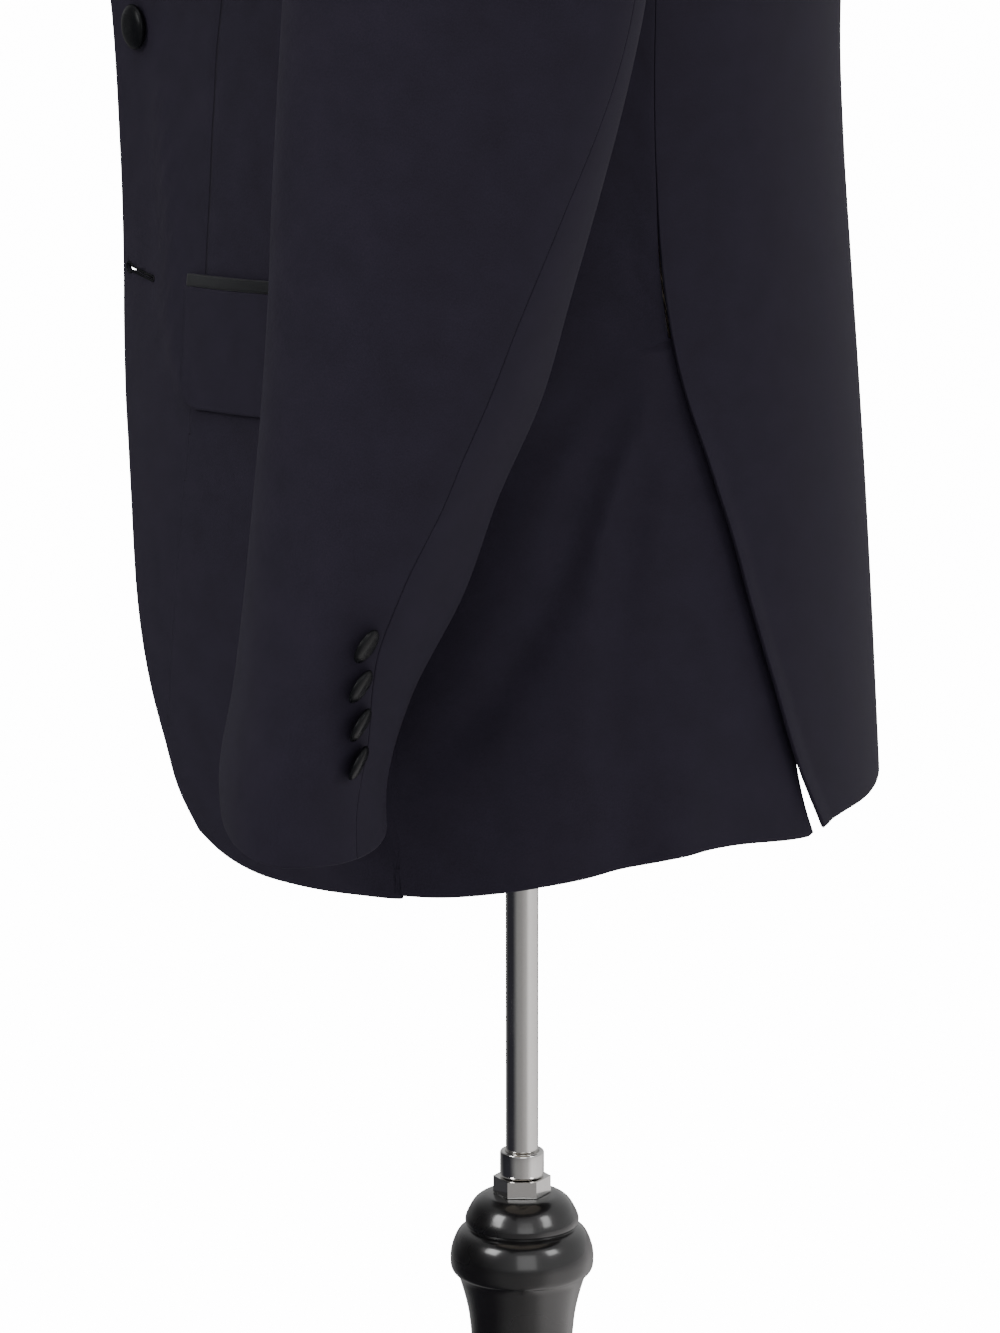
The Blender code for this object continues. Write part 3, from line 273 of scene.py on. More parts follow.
def roughen(tree, shader, height, distance):
    """Drive the shader's normal from a height, whose full range stands for a distance in metres."""
    bump = tree.nodes.new("ShaderNodeBump")
    feed(tree, bump.inputs["Height"], height)
    bump.inputs["Distance"].default_value = distance
    feed(tree, shader.inputs["Normal"], bump.outputs["Normal"])


black_lacquer, tree, shader = finish("black_lacquer", Coat_Weight=0.8, Coat_Roughness=0.13)
marks = place_effect(tree, handling, Place=object_place(tree), Cells_a_metre=22.0)
lacquer = blend_colours(tree, marks["Smudge"], (0.0045, 0.0042, 0.0045), (0.012, 0.011, 0.011))
feed(tree, shader.inputs["Base Color"], lacquer)
feed(tree, shader.inputs["Roughness"], maths(tree, "MULTIPLY_ADD", marks["Smudge"], 0.25, 0.24))
roughen(tree, shader, marks["Smudge"], 0.00025)


def smooth(stations, values, at):
    """Value at each place of a smooth curve through the stations."""
    stations = np.asarray(stations, float)
    values = np.asarray(values, float)
    at = np.clip(at, stations[0], stations[-1])
    slopes = np.gradient(values, stations)
    left = np.clip(np.searchsorted(stations, at, side="right") - 1, 0, len(stations) - 2)
    width = stations[left + 1] - stations[left]
    t = (at - stations[left]) / width
    return (
        (1 + 2 * t) * (1 - t) ** 2 * values[left]
        + t * (1 - t) ** 2 * width * slopes[left]
        + t * t * (3 - 2 * t) * values[left + 1]
        - t * t * (1 - t) * width * slopes[left + 1]
    )


def run_length(points):
    """Distance from the first of some points to each one, along the line that joins them."""
    return np.concatenate([[0], np.cumsum(np.linalg.norm(np.diff(points, axis=0), axis=1))])


def flowing(points, count, metric=1.0):
    """Evenly spaced points on the smooth line through some points, measured with a factor for each column."""
    points = np.array(points, float)
    length = run_length(points * metric)
    at = np.linspace(0, length[-1], count)
    return np.stack([smooth(length, column, at) for column in points.T], axis=1)


def take_place(made, node, body="dressed_form"):
    """Let a piece stand for a solid, and ride on a body."""
    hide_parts(node)
    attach(made, body)
    return made


def turned(name, runs, steps, made_of, body, node):
    """A piece turned about the pole's axis, from runs of radius and height, in place of its solid."""
    line = [(radius, 0.0, z) for run in runs for radius, z in run]
    mesh = bpy.data.meshes.new(name)
    mesh.from_pydata(line, [(i, i + 1) for i in range(len(line) - 1)], [])
    made = linked(name, mesh)
    lathe = made.modifiers.new("lathe", "SCREW")
    lathe.axis = "Z"
    lathe.angle = math.tau
    lathe.steps = steps
    lathe.render_steps = steps
    lathe.use_merge_vertices = True
    lathe.merge_threshold = 0.00002
    lathe.use_smooth_shade = True
    mesh.materials.append(made_of)
    return take_place(made, node, body)


TOP_BEAD = (
    (0.0135, 0.5652), (0.0175, 0.5645), (0.0215, 0.5620), (0.0245, 0.5575), (0.0262, 0.5520), (0.0258, 0.5505),
    (0.0247, 0.5499),
)
SECOND_BEAD = (
    (0.0247, 0.5497), (0.0285, 0.5475), (0.0320, 0.5410), (0.0331, 0.5343), (0.0322, 0.5290), (0.0312, 0.5278),
    (0.0299, 0.5274),
)
NECK_AND_VASE = (
    (0.0298, 0.5273), (0.0272, 0.5190), (0.0247, 0.5080), (0.0235, 0.4970), (0.0215, 0.4700), (0.0205, 0.4400),
    (0.0225, 0.4050), (0.0285, 0.3550), (0.0325, 0.3100), (0.0310, 0.2650), (0.0225, 0.2300),
)
FOOT_OF_COLUMN = ((0.0225, 0.2298), (0.0300, 0.2180), (0.0300, 0.2100), (0.0350, 0.2000))
DRUM = ((0.0350, 0.0850), (0.0345, 0.0840), (0.0290, 0.0755), (0.0280, 0.0750))
POLE_RADIUS = 0.0075
BORE_RADIUS = 0.0078
BORE_FLOOR = 0.090
turned(
    "turned_column",
    [
        [(0.0, BORE_FLOOR), (BORE_RADIUS, BORE_FLOOR)], [(BORE_RADIUS, 0.5652)], flowing(TOP_BEAD, 30),
        flowing(SECOND_BEAD, 34), flowing(NECK_AND_VASE, 90), flowing(FOOT_OF_COLUMN, 16),
        [(0.0350, 0.1985)], flowing(DRUM, 8), [(0.0, 0.0750)],
    ],
    112, black_lacquer, "stand", "column",
)

# Legs: three curved legs sawn from board, rounded over and joined to the drum,
# lacquered with the column.
LEG_EDGE_ROUND = 0.0035
LEG_EDGE_ANGLE = 50


def eased_solid(name, made_of, width, segments, angle):
    """A solid shown as it is, with its own material and its edges eased."""
    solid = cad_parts[name]
    for place in solid.material_slots:
        place.material = made_of
    eased = solid.modifiers.new("eased_edges", "BEVEL")
    eased.width = width
    eased.segments = segments
    eased.limit_method = "ANGLE"
    eased.angle_limit = math.radians(angle)
    return solid


for name in ("leg_left", "leg_back_right", "leg_front_right"):
    eased_solid(name, black_lacquer, LEG_EDGE_ROUND, 4, LEG_EDGE_ANGLE).data.shade_smooth()

# Nut and fitting: a chromed hex nut at the top of the column and a chromed ring
# that guides the pole.
NUT_EDGE_ROUND = 0.0005
NUT_EDGE_ANGLE = 35
polished_chrome, tree, shader = finish("polished_chrome", Metallic=1.0)
marks = place_effect(tree, handling, Place=object_place(tree), Cells_a_metre=45.0)
feed(tree, shader.inputs["Base Color"], blend_colours(tree, marks["Dust"], (0.70, 0.69, 0.67), (0.80, 0.79, 0.78)))
feed(tree, shader.inputs["Roughness"], maths(tree, "MULTIPLY_ADD", marks["Smudge"], 0.5, 0.10))
roughen(tree, shader, marks["Dust"], 0.00001)
eased_solid("hex_nut", polished_chrome, NUT_EDGE_ROUND, 3, NUT_EDGE_ANGLE)

FITTING_OUTLINE = (
    (BORE_RADIUS, 0.5735), (BORE_RADIUS, 0.5855), (0.0092, 0.5855), (0.0098, 0.5853), (0.0101, 0.5849),
    (0.0102, 0.5843), (0.0102, 0.5746), (0.0100, 0.5738), (0.0096, 0.5735), (BORE_RADIUS, 0.5735),
)
turned("guide_ring", [FITTING_OUTLINE], 72, polished_chrome, "stand", "collar_fitting")

# Pole: a chromed steel tube that slides in the column and carries the form.
POLE_OUTLINE = (
    (0.0, 1.1500), (0.0065, 1.1500), (0.0072, 1.1498), (POLE_RADIUS, 1.1490), (POLE_RADIUS, 0.2510), (0.0070, 0.2500),
    (0.0, 0.2500),
)
turned("chromed_pole", [POLE_OUTLINE], 72, polished_chrome, "pole", "pole")

# Cloth of the jacket: the outer face that every panel is cut from, with its
# folds. The wearer's right has the same folds a little lower and softer.
SECTION_COLUMNS = ("level", "z_front", "z_back", "half_width", "y_front", "y_side", "y_back", "prow", "full_front")
SIDE_FULLNESS = 0.56
BACK_FULLNESS = 0.58
WIDEST_Y = 0.010


def columns(names, rows):
    """Columns of a table by their names."""
    return {name: np.array(column, float) for name, column in zip(names, zip(*rows))}


def level_sections(*rows):
    """Sections that lie level, from their level, half width, front, back, prow and fullness in front."""
    return tuple((z, z, z, half, front, WIDEST_Y, back, prow, full) for z, half, front, back, prow, full in rows)


def bezier(t, p0, p1, p2, p3):
    return (1 - t) ** 3 * p0 + 3 * t * (1 - t) ** 2 * p1 + 3 * t * t * (1 - t) * p2 + t ** 3 * p3


def step(value):
    """Rise smoothly from 0 to 1 as the value goes from 0 to 1."""
    t = np.clip(value, 0.0, 1.0)
    return t * t * (3 - 2 * t)


def section_point(turn, level, sections):
    """Point of the left half of a body; below 0 the front runs straight on past the centre."""
    turn, level = np.broadcast_arrays(np.asarray(turn, float), np.asarray(level, float))
    row = {name: smooth(sections["level"], column, level) for name, column in sections.items()}
    reach = row["full_front"] * row["half_width"]
    rise = np.tan(np.radians(row["prow"])) * reach
    front = np.clip(turn / 90, 0, 1)
    back = np.clip(turn / 90 - 1, 0, 1)
    side_y = row["y_side"] - SIDE_FULLNESS * (row["y_side"] - row["y_front"])
    back_y = row["y_side"] + BACK_FULLNESS * (row["y_back"] - row["y_side"])
    x_front = bezier(front, 0, reach, row["half_width"], row["half_width"])
    y_front = bezier(front, row["y_front"], row["y_front"] + rise, side_y, row["y_side"])
    x_back = bezier(back, row["half_width"], row["half_width"], BACK_FULLNESS * row["half_width"], 0)
    y_back = bezier(back, row["y_side"], back_y, row["y_back"], row["y_back"])
    past = np.minimum(turn, 0) / 30
    behind = turn > 90
    x = np.where(behind, x_back, x_front + past * reach)
    y = np.where(behind, y_back, y_front + past * rise)
    z_front = row["z_front"] + (level - row["z_front"]) * step(front)
    z_back = level + (row["z_back"] - level) * step(back)
    return np.stack([x, y, np.where(behind, z_back, z_front)], axis=-1)


SECTIONS = level_sections(
    (0.740, 0.201, -0.189, 0.1625, 18, 0.40),
    (0.800, 0.197, -0.187, 0.1590, 18, 0.40),
    (0.850, 0.191, -0.1833, 0.1560, 18, 0.40),
    (0.900, 0.184, -0.1780, 0.1527, 18, 0.40),
    (0.950, 0.178, -0.1723, 0.1490, 20, 0.40),
    (1.000, 0.174, -0.1682, 0.1450, 23, 0.40),
    (1.050, 0.173, -0.1677, 0.1412, 26, 0.40),
    (1.100, 0.177, -0.1682, 0.1390, 30, 0.40),
    (1.150, 0.185, -0.1735, 0.1405, 29, 0.42),
    (1.200, 0.194, -0.1780, 0.1445, 24, 0.44),
    (1.250, 0.203, -0.1800, 0.1490, 18, 0.47),
) + (
    (1.300, 1.297, 1.299, 0.211, -0.1760, 0.011, 0.1515, 12, 0.50),
    (1.350, 1.338, 1.345, 0.218, -0.166, 0.012, 0.1490, 7, 0.53),
    (1.400, 1.375, 1.392, 0.2235, -0.151, 0.013, 0.1410, 4, 0.54),
    (1.440, 1.402, 1.431, 0.227, -0.137, 0.014, 0.1300, 2, 0.55),
    (1.470, 1.421, 1.459, 0.188, -0.122, 0.013, 0.1150, 0, 0.55),
    (1.500, 1.440, 1.488, 0.138, -0.104, 0.011, 0.0970, 0, 0.55),
    (1.530, 1.462, 1.523, 0.081, -0.081, 0.008, 0.0710, 0, 0.55),
    (1.556, 1.488, 1.552, 0.073, -0.070, 0.006, 0.0630, 0, 0.55),
)
SECTION = columns(SECTION_COLUMNS, SECTIONS)
FOLDS = (
    ("vent to pocket hollow", 0.010, (
        (0.052, 0.968, 0.0), (0.040, 0.948, -0.0040), (0.028, 0.922, -0.0045), (0.011, 0.877, -0.0040),
        (-0.015, 0.837, -0.0032), (-0.0295, 0.821, -0.0025), (-0.050, 0.792, 0.0),
    )),
    ("ridge above it", 0.008, (
        (0.060, 0.980, 0.0), (0.048, 0.949, 0.0030), (0.036, 0.915, 0.0025), (0.026, 0.880, 0.0),
    )),
    ("upright hollow", 0.009, (
        (0.0565, 0.962, 0.0), (0.048, 0.923, -0.0035), (0.0434, 0.897, -0.0035), (0.0405, 0.853, -0.0025),
        (0.0376, 0.815, 0.0),
    )),
    ("waist hollow", 0.010, (
        (0.042, 0.985, 0.0), (0.026, 0.963, -0.0026), (0.005, 0.940, -0.0022), (-0.012, 0.920, 0.0),
    )),
    ("hem hollow", 0.012, ((0.040, 0.845, 0.0), (0.043, 0.800, -0.0030), (0.043, 0.740, -0.0045))),
    ("hem ridge", 0.012, ((0.075, 0.850, 0.0), (0.068, 0.800, 0.0030), (0.066, 0.740, 0.0040))),
    ("front ridge", 0.006, (
        (-0.1588, 1.085, 0.0), (-0.1545, 1.045, 0.0022), (-0.1512, 1.010, 0.0026), (-0.1515, 0.975, 0.0022),
        (-0.1451, 0.948, 0.0020), (-0.1326, 0.925, 0.0),
    )),
)
RIGHT_DROP = 0.008
RIGHT_SOFTER = 0.85
WALL = 0.002
SEAM = 0.00008
MIRRORED = np.array([-1.0, 1.0, 1.0])
FOLD_STATIONS = 30
FOLD_REACHES = 3
FOLD_BLEND = 0.6


def unit(vectors):
    return vectors / np.linalg.norm(vectors, axis=-1, keepdims=True)


def facing(surface, turn, level):
    """Direction straight out of a surface."""
    turn_step = 0.2
    level_step = 0.0008
    turn = np.minimum(turn, 180 - 2 * turn_step)
    level = np.clip(level, SECTIONS[0][0] + level_step, SECTIONS[-1][0] - level_step)
    round_step = surface(turn + turn_step, level) - surface(turn - turn_step, level)
    up = surface(turn, level + level_step) - surface(turn, level - level_step)
    return unit(np.cross(round_step, up))


def fold_height(y, z, folds):
    """Height of the folds at places seen from the side, each along a flowing course."""
    total = np.zeros(np.broadcast(y, z).shape)
    for name, reach, course in folds:
        stations = flowing(course, FOLD_STATIONS, (1.0, 1.0, 0.0))
        margin = FOLD_REACHES * reach
        low, high = stations[:, :2].min(axis=0) - margin, stations[:, :2].max(axis=0) + margin
        near = (y > low[0]) & (y < high[0]) & (z > low[1]) & (z < high[1])
        if not near.any():
            continue
        gap = np.hypot(y[near][:, None] - stations[None, :, 0], z[near][:, None] - stations[None, :, 1])
        share = np.exp(-(gap ** 2 - gap.min(axis=1, keepdims=True) ** 2) / (FOLD_BLEND * reach) ** 2)
        height = (share * stations[None, :, 2]).sum(axis=1) / share.sum(axis=1)
        total[near] += height * np.exp(-(gap.min(axis=1) / reach) ** 2)
    return total


class Side:
    """The cloth of one side of the jacket; the right is worked out as a left and mirrored later."""

    def __init__(self, name, drop, softer):
        self.name = name
        self.folds = [
            (label, reach, [(y, z - drop, height * softer) for y, z, height in course])
            for label, reach, course in FOLDS
        ]

    def body(self, turn, level):
        point = plain_body(turn, level)
        height = fold_height(point[..., 1], point[..., 2], self.folds)
        return point + facing(plain_body, turn, level) * height[..., None]

    def cloth(self, turn, level, out=0.0):
        out = np.asarray(out, float)
        return self.body(turn, level) + facing(self.body, turn, level) * out[..., None]


def plain_body(turn, level):
    return section_point(turn, level, SECTION)


LEFT = Side("left", 0.0, 1.0)
RIGHT = Side("right", RIGHT_DROP, RIGHT_SOFTER)
TURNS = np.linspace(-18, 180, 397)
LEVELS = np.linspace(0.740, 1.556, 409)
LATTICE = LEFT.body(TURNS[:, None], LEVELS[None, :])
ROUND = np.concatenate([
    np.zeros((1, len(LEVELS))),
    np.cumsum(np.linalg.norm(np.diff(LATTICE, axis=0), axis=-1), axis=0),
])
ROUND = ROUND - ROUND[np.searchsorted(TURNS, 0.0)]
LEVEL_BELOW = 0.01
LEVEL_ABOVE = 0.09


def find(measure, value, z, turns=(-18, 180)):
    """Turn and level at which a measure along the lattice has its value at the height z."""
    keep = (TURNS >= turns[0]) & (TURNS <= turns[1])
    near = np.flatnonzero((LEVELS > z - LEVEL_BELOW) & (LEVELS < z + LEVEL_ABOVE))
    turn_at = [np.interp(value, measure[keep, i], TURNS[keep]) for i in near]
    z_at = [np.interp(turn, TURNS, LATTICE[:, i, 2]) for turn, i in zip(turn_at, near)]
    return np.interp(z, z_at, turn_at), np.interp(z, z_at, LEVELS[near])


def at_front(x, z):
    return find(LATTICE[:, :, 0], x, z, (-18, 90))


def at_side(y, z):
    return find(LATTICE[:, :, 1], y, z)


def at_round(distance, z):
    return find(ROUND, distance, z)


def table(rows, at):
    """Second column of a two-column table, read smoothly by its first."""
    first, second = zip(*rows)
    return smooth(first, second, at)


# Woven stuff: one effect for linen, wool and silk, with slanted ribs and crossing
# threads from the flat cut of each piece.
weave, start, end = effect(
    "close_weave",
    [("Cut", "NodeSocketVector", None), ("Thread", "NodeSocketFloat", 0.0006), ("Slant", "NodeSocketFloat", 1.0)],
    ["Height", "Fleck"],
)
ways = axes(weave, start.outputs["Cut"])
turns_a_metre = maths(weave, "DIVIDE", math.tau, start.outputs["Thread"])
slanted = maths(weave, "MULTIPLY_ADD", ways["Y"], start.outputs["Slant"], ways["X"])
twill = maths(weave, "SINE", maths(weave, "MULTIPLY", slanted, turns_a_metre))
crossing = maths(weave, "SUBTRACT", ways["X"], ways["Y"])
picks = maths(weave, "SINE", maths(weave, "MULTIPLY", crossing, turns_a_metre))
slub = noise(weave, start.outputs["Cut"], 1400.0, 3.0)
cloudy = noise(weave, start.outputs["Cut"], 55.0)
ribs = maths(weave, "MULTIPLY_ADD", twill, 0.22, 0.4)
rough_picks = maths(weave, "MULTIPLY_ADD", picks, 0.10, maths(weave, "MULTIPLY", slub, 0.3))
feed(weave, end.inputs["Height"], maths(weave, "ADD", ribs, rough_picks))
feed(weave, end.inputs["Fleck"], maths(
    weave, "ADD", maths(weave, "MULTIPLY", slub, 0.6), maths(weave, "MULTIPLY", cloudy, 0.4),
))


def cut_place(tree):
    """Place on the flat cut of a panel in metres."""
    node = tree.nodes.new("ShaderNodeUVMap")
    node.uv_map = "cut"
    return node.outputs["UV"]


# Dress form: a stiff limbless torso with a short neck, covered in natural linen
# that is sewn down the centre and the sides, and bored below for the pole.
FORM_SECTIONS = level_sections(
    (0.860, 0.152, -0.118, 0.128, 0, 0.55),
    (0.863, 0.157, -0.124, 0.133, 0, 0.55),
    (0.870, 0.160, -0.128, 0.136, 0, 0.55),
    (0.900, 0.162, -0.130, 0.137, 0, 0.55),
    (0.950, 0.159, -0.127, 0.134, 0, 0.55),
    (1.000, 0.156, -0.123, 0.130, 0, 0.55),
    (1.050, 0.155, -0.121, 0.126, 0, 0.55),
    (1.100, 0.158, -0.123, 0.124, 0, 0.55),
    (1.150, 0.164, -0.129, 0.126, 0, 0.55),
    (1.200, 0.170, -0.137, 0.130, 0, 0.55),
    (1.250, 0.176, -0.143, 0.135, 0, 0.55),
) + (
    (1.300, 1.297, 1.299, 0.181, -0.144, 0.010, 0.139, 0, 0.55),
    (1.350, 1.338, 1.345, 0.186, -0.139, 0.010, 0.138, 0, 0.55),
    (1.400, 1.373, 1.390, 0.188, -0.129, 0.010, 0.131, 0, 0.55),
    (1.430, 1.396, 1.418, 0.188, -0.122, 0.010, 0.124, 0, 0.55),
)
FORM_NECK_SECTIONS = (
    (1.533, 1.469, 1.525, 0.068, -0.068, 0.008, 0.058, 0, 0.55),
    (1.558, 1.510, 1.554, 0.0645, -0.0625, 0.008, 0.0555, 0, 0.55),
    (1.580, 1.560, 1.580, 0.0615, -0.0595, 0.008, 0.0545, 0, 0.55),
    (1.598, 1.595, 1.598, 0.0605, -0.0585, 0.008, 0.0545, 0, 0.55),
    (1.603, 1.602, 1.603, 0.0585, -0.0565, 0.008, 0.0525, 0, 0.55),
    (1.605, 1.605, 1.605, 0.0540, -0.0520, 0.008, 0.0480, 0, 0.55),
)
SHOULDER_RINGS = ((1.464, 0.0), (1.478, 0.2), (1.490, 1.0), (1.500, 1.0), (1.512, 0.0), (1.522, 0.0))
RIDGE_WIDTH = 7.0
FORM_CLEARANCE = 0.0007
FORM_EASE = 0.010


def form_rings():
    """Rings round the form from its lower edge to the top of its neck."""
    half = np.linspace(0, 180, 61)
    trunk, neck = columns(SECTION_COLUMNS, FORM_SECTIONS), columns(SECTION_COLUMNS, FORM_NECK_SECTIONS)
    ridge = np.exp(-((half - 90) / RIDGE_WIDTH) ** 2)
    halves = [section_point(half, z, trunk) for z in (0.860, 0.8608, 0.8625, 0.866, *np.linspace(0.870, 1.430, 50))]
    for level in np.linspace(1.464, 1.522, 13):
        inside = WALL + FORM_CLEARANCE + FORM_EASE * (1 - table(SHOULDER_RINGS, level) * ridge)
        halves.append(LEFT.cloth(half, level + 0 * half, -inside))
    halves += [section_point(half, z, neck) for z in (*np.linspace(1.533, 1.598, 12), 1.601, 1.603, 1.6045, 1.605)]
    rings = []
    for points in halves:
        points[0, 0] = points[-1, 0] = 0.0
        rings.append(np.concatenate([points, points[-2:0:-1] * MIRRORED]))
    return rings


def closed_skin(name, rings, made_of):
    """A closed solid skin through rings of points, with a UV map in metres."""
    rings = np.array(rings)
    levels, count = rings.shape[:2]
    number = np.arange(levels * count).reshape(levels, count)
    after = np.roll(number, -1, axis=1)
    faces = np.stack([number[:-1], after[:-1], after[1:], number[1:]], axis=-1).reshape(-1, 4)
    mesh = bpy.data.meshes.new(name)
    mesh.from_pydata(
        rings.reshape(-1, 3).tolist(), [], faces.tolist() + [number[0, ::-1].tolist(), number[-1].tolist()],
    )
    u = run_length(rings[levels // 2][np.arange(count + 1) % count])
    v = np.concatenate([[0], np.cumsum(np.linalg.norm(np.diff(rings, axis=0), axis=-1).mean(axis=1))])
    low, under = np.meshgrid(u[:-1], v[:-1])
    high, over = np.meshgrid(u[1:], v[1:])
    flat = np.stack([low, under, high, under, high, over, low, over], axis=-1).reshape(-1, 2)
    layer = mesh.uv_layers.new(name="cut")
    layer.data.foreach_set("uv", np.concatenate([flat, np.zeros((2 * count, 2))]).ravel())
    mesh.shade_smooth()
    mesh.materials.append(made_of)
    return linked(name, mesh)


def bell(tree, value):
    """1 where a value is 0, falling smoothly to 0 at about 2 either way."""
    squared = maths(tree, "MULTIPLY", value, value)
    return maths(tree, "POWER", math.e, maths(tree, "MULTIPLY", squared, -1.0))


FORM_SEAM = 0.0011
natural_linen, tree, shader = finish("natural_linen", Roughness=0.9)
threads = place_effect(tree, weave, Cut=cut_place(tree), Thread=0.0011, Slant=0.0)
sides = axes(tree, object_place(tree))
off_centre = maths(tree, "DIVIDE", sides["X"], FORM_SEAM)
off_side = maths(tree, "DIVIDE", maths(tree, "SUBTRACT", sides["Y"], WIDEST_Y), FORM_SEAM)
seams = maths(tree, "ADD", bell(tree, off_centre), bell(tree, off_side))
tone = maths(tree, "SUBTRACT", threads["Fleck"], maths(tree, "MULTIPLY", seams, 0.35))
feed(tree, shader.inputs["Base Color"], blend_colours(tree, tone, (0.40, 0.34, 0.26), (0.66, 0.59, 0.48)))
roughen(tree, shader, maths(tree, "SUBTRACT", maths(tree, "MULTIPLY", threads["Height"], 0.3), seams), 0.0009)

half_turn = np.linspace(0, math.tau, 121)[:-1]
bore = [
    np.stack([BORE_RADIUS * np.sin(half_turn), -BORE_RADIUS * np.cos(half_turn), z + 0 * half_turn], axis=-1)
    for z in (1.1515, 0.860)
]
take_place(closed_skin("linen_torso", bore + form_rings(), natural_linen), "form_torso")

# Seams and cut edges of the panels, by height or seen from the side, as the
# panels were cut and sewn; a panel is laid out as turn and level pairs.
FRONT_SEAM = ((0.750, -0.054), (0.900, -0.052), (1.000, -0.050), (1.100, -0.046), (1.200, -0.039))
BACK_SEAM = (
    (0.764, 0.1300), (0.778, 0.1240), (0.800, 0.1160), (0.837, 0.1050), (0.869, 0.0955), (0.900, 0.0870),
    (0.925, 0.0790), (0.971, 0.0650), (1.010, 0.0580), (1.049, 0.0550), (1.123, 0.0540), (1.190, 0.0560),
)
BACK_CENTRE_Y = 0.1600
BACK_HEM = ((0.1250, 0.7695), (0.1391, 0.7712), (0.1539, 0.7700), (0.1650, 0.7695))
NECK_LEVEL = 1.530
SHOULDER_LEVEL = 1.440
ARMHOLE_LEVEL = 1.3325
ARMHOLE_RISE = 0.1075
ARMHOLE_TURN = 23.0
FRONT_NOTCH_ANGLE = 144.0
BACK_NOTCH_ANGLE = 237.6
METRES_A_DEGREE = 0.003
RIM_LINES = np.array([0.0, 0.00025, 0.0006, 0.0011, 0.0018])
SEAM_RIM = 0.00035
FREE_RIM = 0.0009
THINNEST_RIM = 0.25


def armhole(angle, inside=0.0):
    """Turn and level on the armhole; angle 0 is its top, 90 its front and 180 its bottom."""
    shrink = 1 - inside / ARMHOLE_RISE
    turn = 90 - ARMHOLE_TURN * shrink * np.sin(np.radians(angle))
    level = ARMHOLE_LEVEL + ARMHOLE_RISE * shrink * np.cos(np.radians(angle))
    return turn, level


def sample(knots, count):
    """Evenly spaced turn and level pairs on the smooth line through the knots."""
    return flowing(knots, count, (METRES_A_DEGREE, 1.0))


def chain(*runs):
    """Join runs of points end to end, each starting where the last one ends."""
    return np.concatenate([runs[0]] + [run[1:] for run in runs[1:]])


def patch(left, right, bottom, top):
    """Fill a grid of turn and level pairs in between its four edges."""
    v = np.linspace(0, 1, len(left))[:, None, None]
    u = np.linspace(0, 1, len(bottom))[None, :, None]
    corners = (
        (1 - u) * (1 - v) * left[0] + u * (1 - v) * right[0] + (1 - u) * v * left[-1] + u * v * right[-1]
    )
    edges = (1 - u) * left[:, None] + u * right[:, None] + (1 - v) * bottom[None] + v * top[None]
    return edges - corners


def shift(points, distance):
    """Move turn and level pairs round the body by a distance."""
    points = np.asarray(points, float)
    probe = 0.5
    ahead = LEFT.body(points[:, 0] + probe, points[:, 1])
    behind = LEFT.body(points[:, 0] - probe, points[:, 1])
    speed = np.linalg.norm(ahead - behind, axis=1)
    return points + np.stack([distance * 2 * probe / speed, np.zeros(len(points))], axis=1)


def seam_run(rows, notch_angle, bottom, count):
    """A long seam, from a height up to where it meets the armhole."""
    heights = [bottom] + [z for z, y in rows if z > bottom + 0.01]
    knots = [at_side(table(rows, z), z) for z in heights] + [armhole(notch_angle)]
    return sample(knots, count)


def hem_run(rows, start, end, count):
    """A hem between two places that lie to the front and to the back, seen from the side."""
    return np.array([at_side(y, table(rows, y)) for y in np.linspace(start, end, count)])


def armhole_run(start, end, count):
    return np.array([armhole(angle) for angle in np.linspace(start, end, count)])


def rim_places(count, length):
    """Places from 0 to 1 across a grid, with more lines close to both edges."""
    close = RIM_LINES / length
    middle = np.linspace(0, 1, count)
    middle = middle[(middle > close[-1] * 1.5) & (middle < 1 - close[-1] * 1.5)]
    return np.concatenate([close, middle, 1 - close[::-1]])


def resample(grid, v, u):
    """Read a grid at other places along its rows and columns."""
    rows, across = grid.shape[:2]
    row, column = v * (rows - 1), u * (across - 1)
    low_row = np.minimum(row.astype(int), rows - 2)
    low_column = np.minimum(column.astype(int), across - 2)
    t, s = (row - low_row)[:, None, None], (column - low_column)[None, :, None]
    lower = grid[low_row][:, low_column] * (1 - s) + grid[low_row][:, low_column + 1] * s
    upper = grid[low_row + 1][:, low_column] * (1 - s) + grid[low_row + 1][:, low_column + 1] * s
    return lower * (1 - t) + upper * t


def lip(distance, radius):
    """Share of the full thickness at a distance from a rounded edge."""
    return np.clip(np.sqrt(1 - (1 - np.clip(distance / radius, 0, 1)) ** 2), THINNEST_RIM, 1)


def wall_mesh(name, outer, inner, cut, marks):
    """A thin closed wall between two grids, with its flat cut as a UV map and marks for its stitching."""
    rows, across = outer.shape[:2]
    count = rows * across
    number = np.arange(count).reshape(rows, across)
    a, b = number[:-1, :-1].ravel(), number[:-1, 1:].ravel()
    c, d = number[1:, 1:].ravel(), number[1:, :-1].ravel()
    rim = np.concatenate([number[0, :-1], number[:-1, -1], number[-1, :0:-1], number[:0:-1, 0]])
    after = np.roll(rim, -1)
    faces = np.concatenate([
        np.stack([a, b, c, d], axis=1), count + np.stack([d, c, b, a], axis=1),
        np.stack([rim, rim + count, after + count, after], axis=1),
    ])
    mesh = bpy.data.meshes.new(name)
    mesh.from_pydata(np.concatenate([outer.reshape(-1, 3), inner.reshape(-1, 3)]).tolist(), [], faces.tolist())
    flat = np.tile(cut.reshape(-1, 2), (2, 1))[faces.ravel()]
    layer = mesh.uv_layers.new(name="cut")
    layer.data.foreach_set("uv", flat.ravel())
    for label, values in marks.items():
        attribute = mesh.attributes.new(label, "FLOAT", "POINT")
        attribute.data.foreach_set("value", np.tile(values.ravel(), 2))
    mesh.shade_smooth()
    return mesh


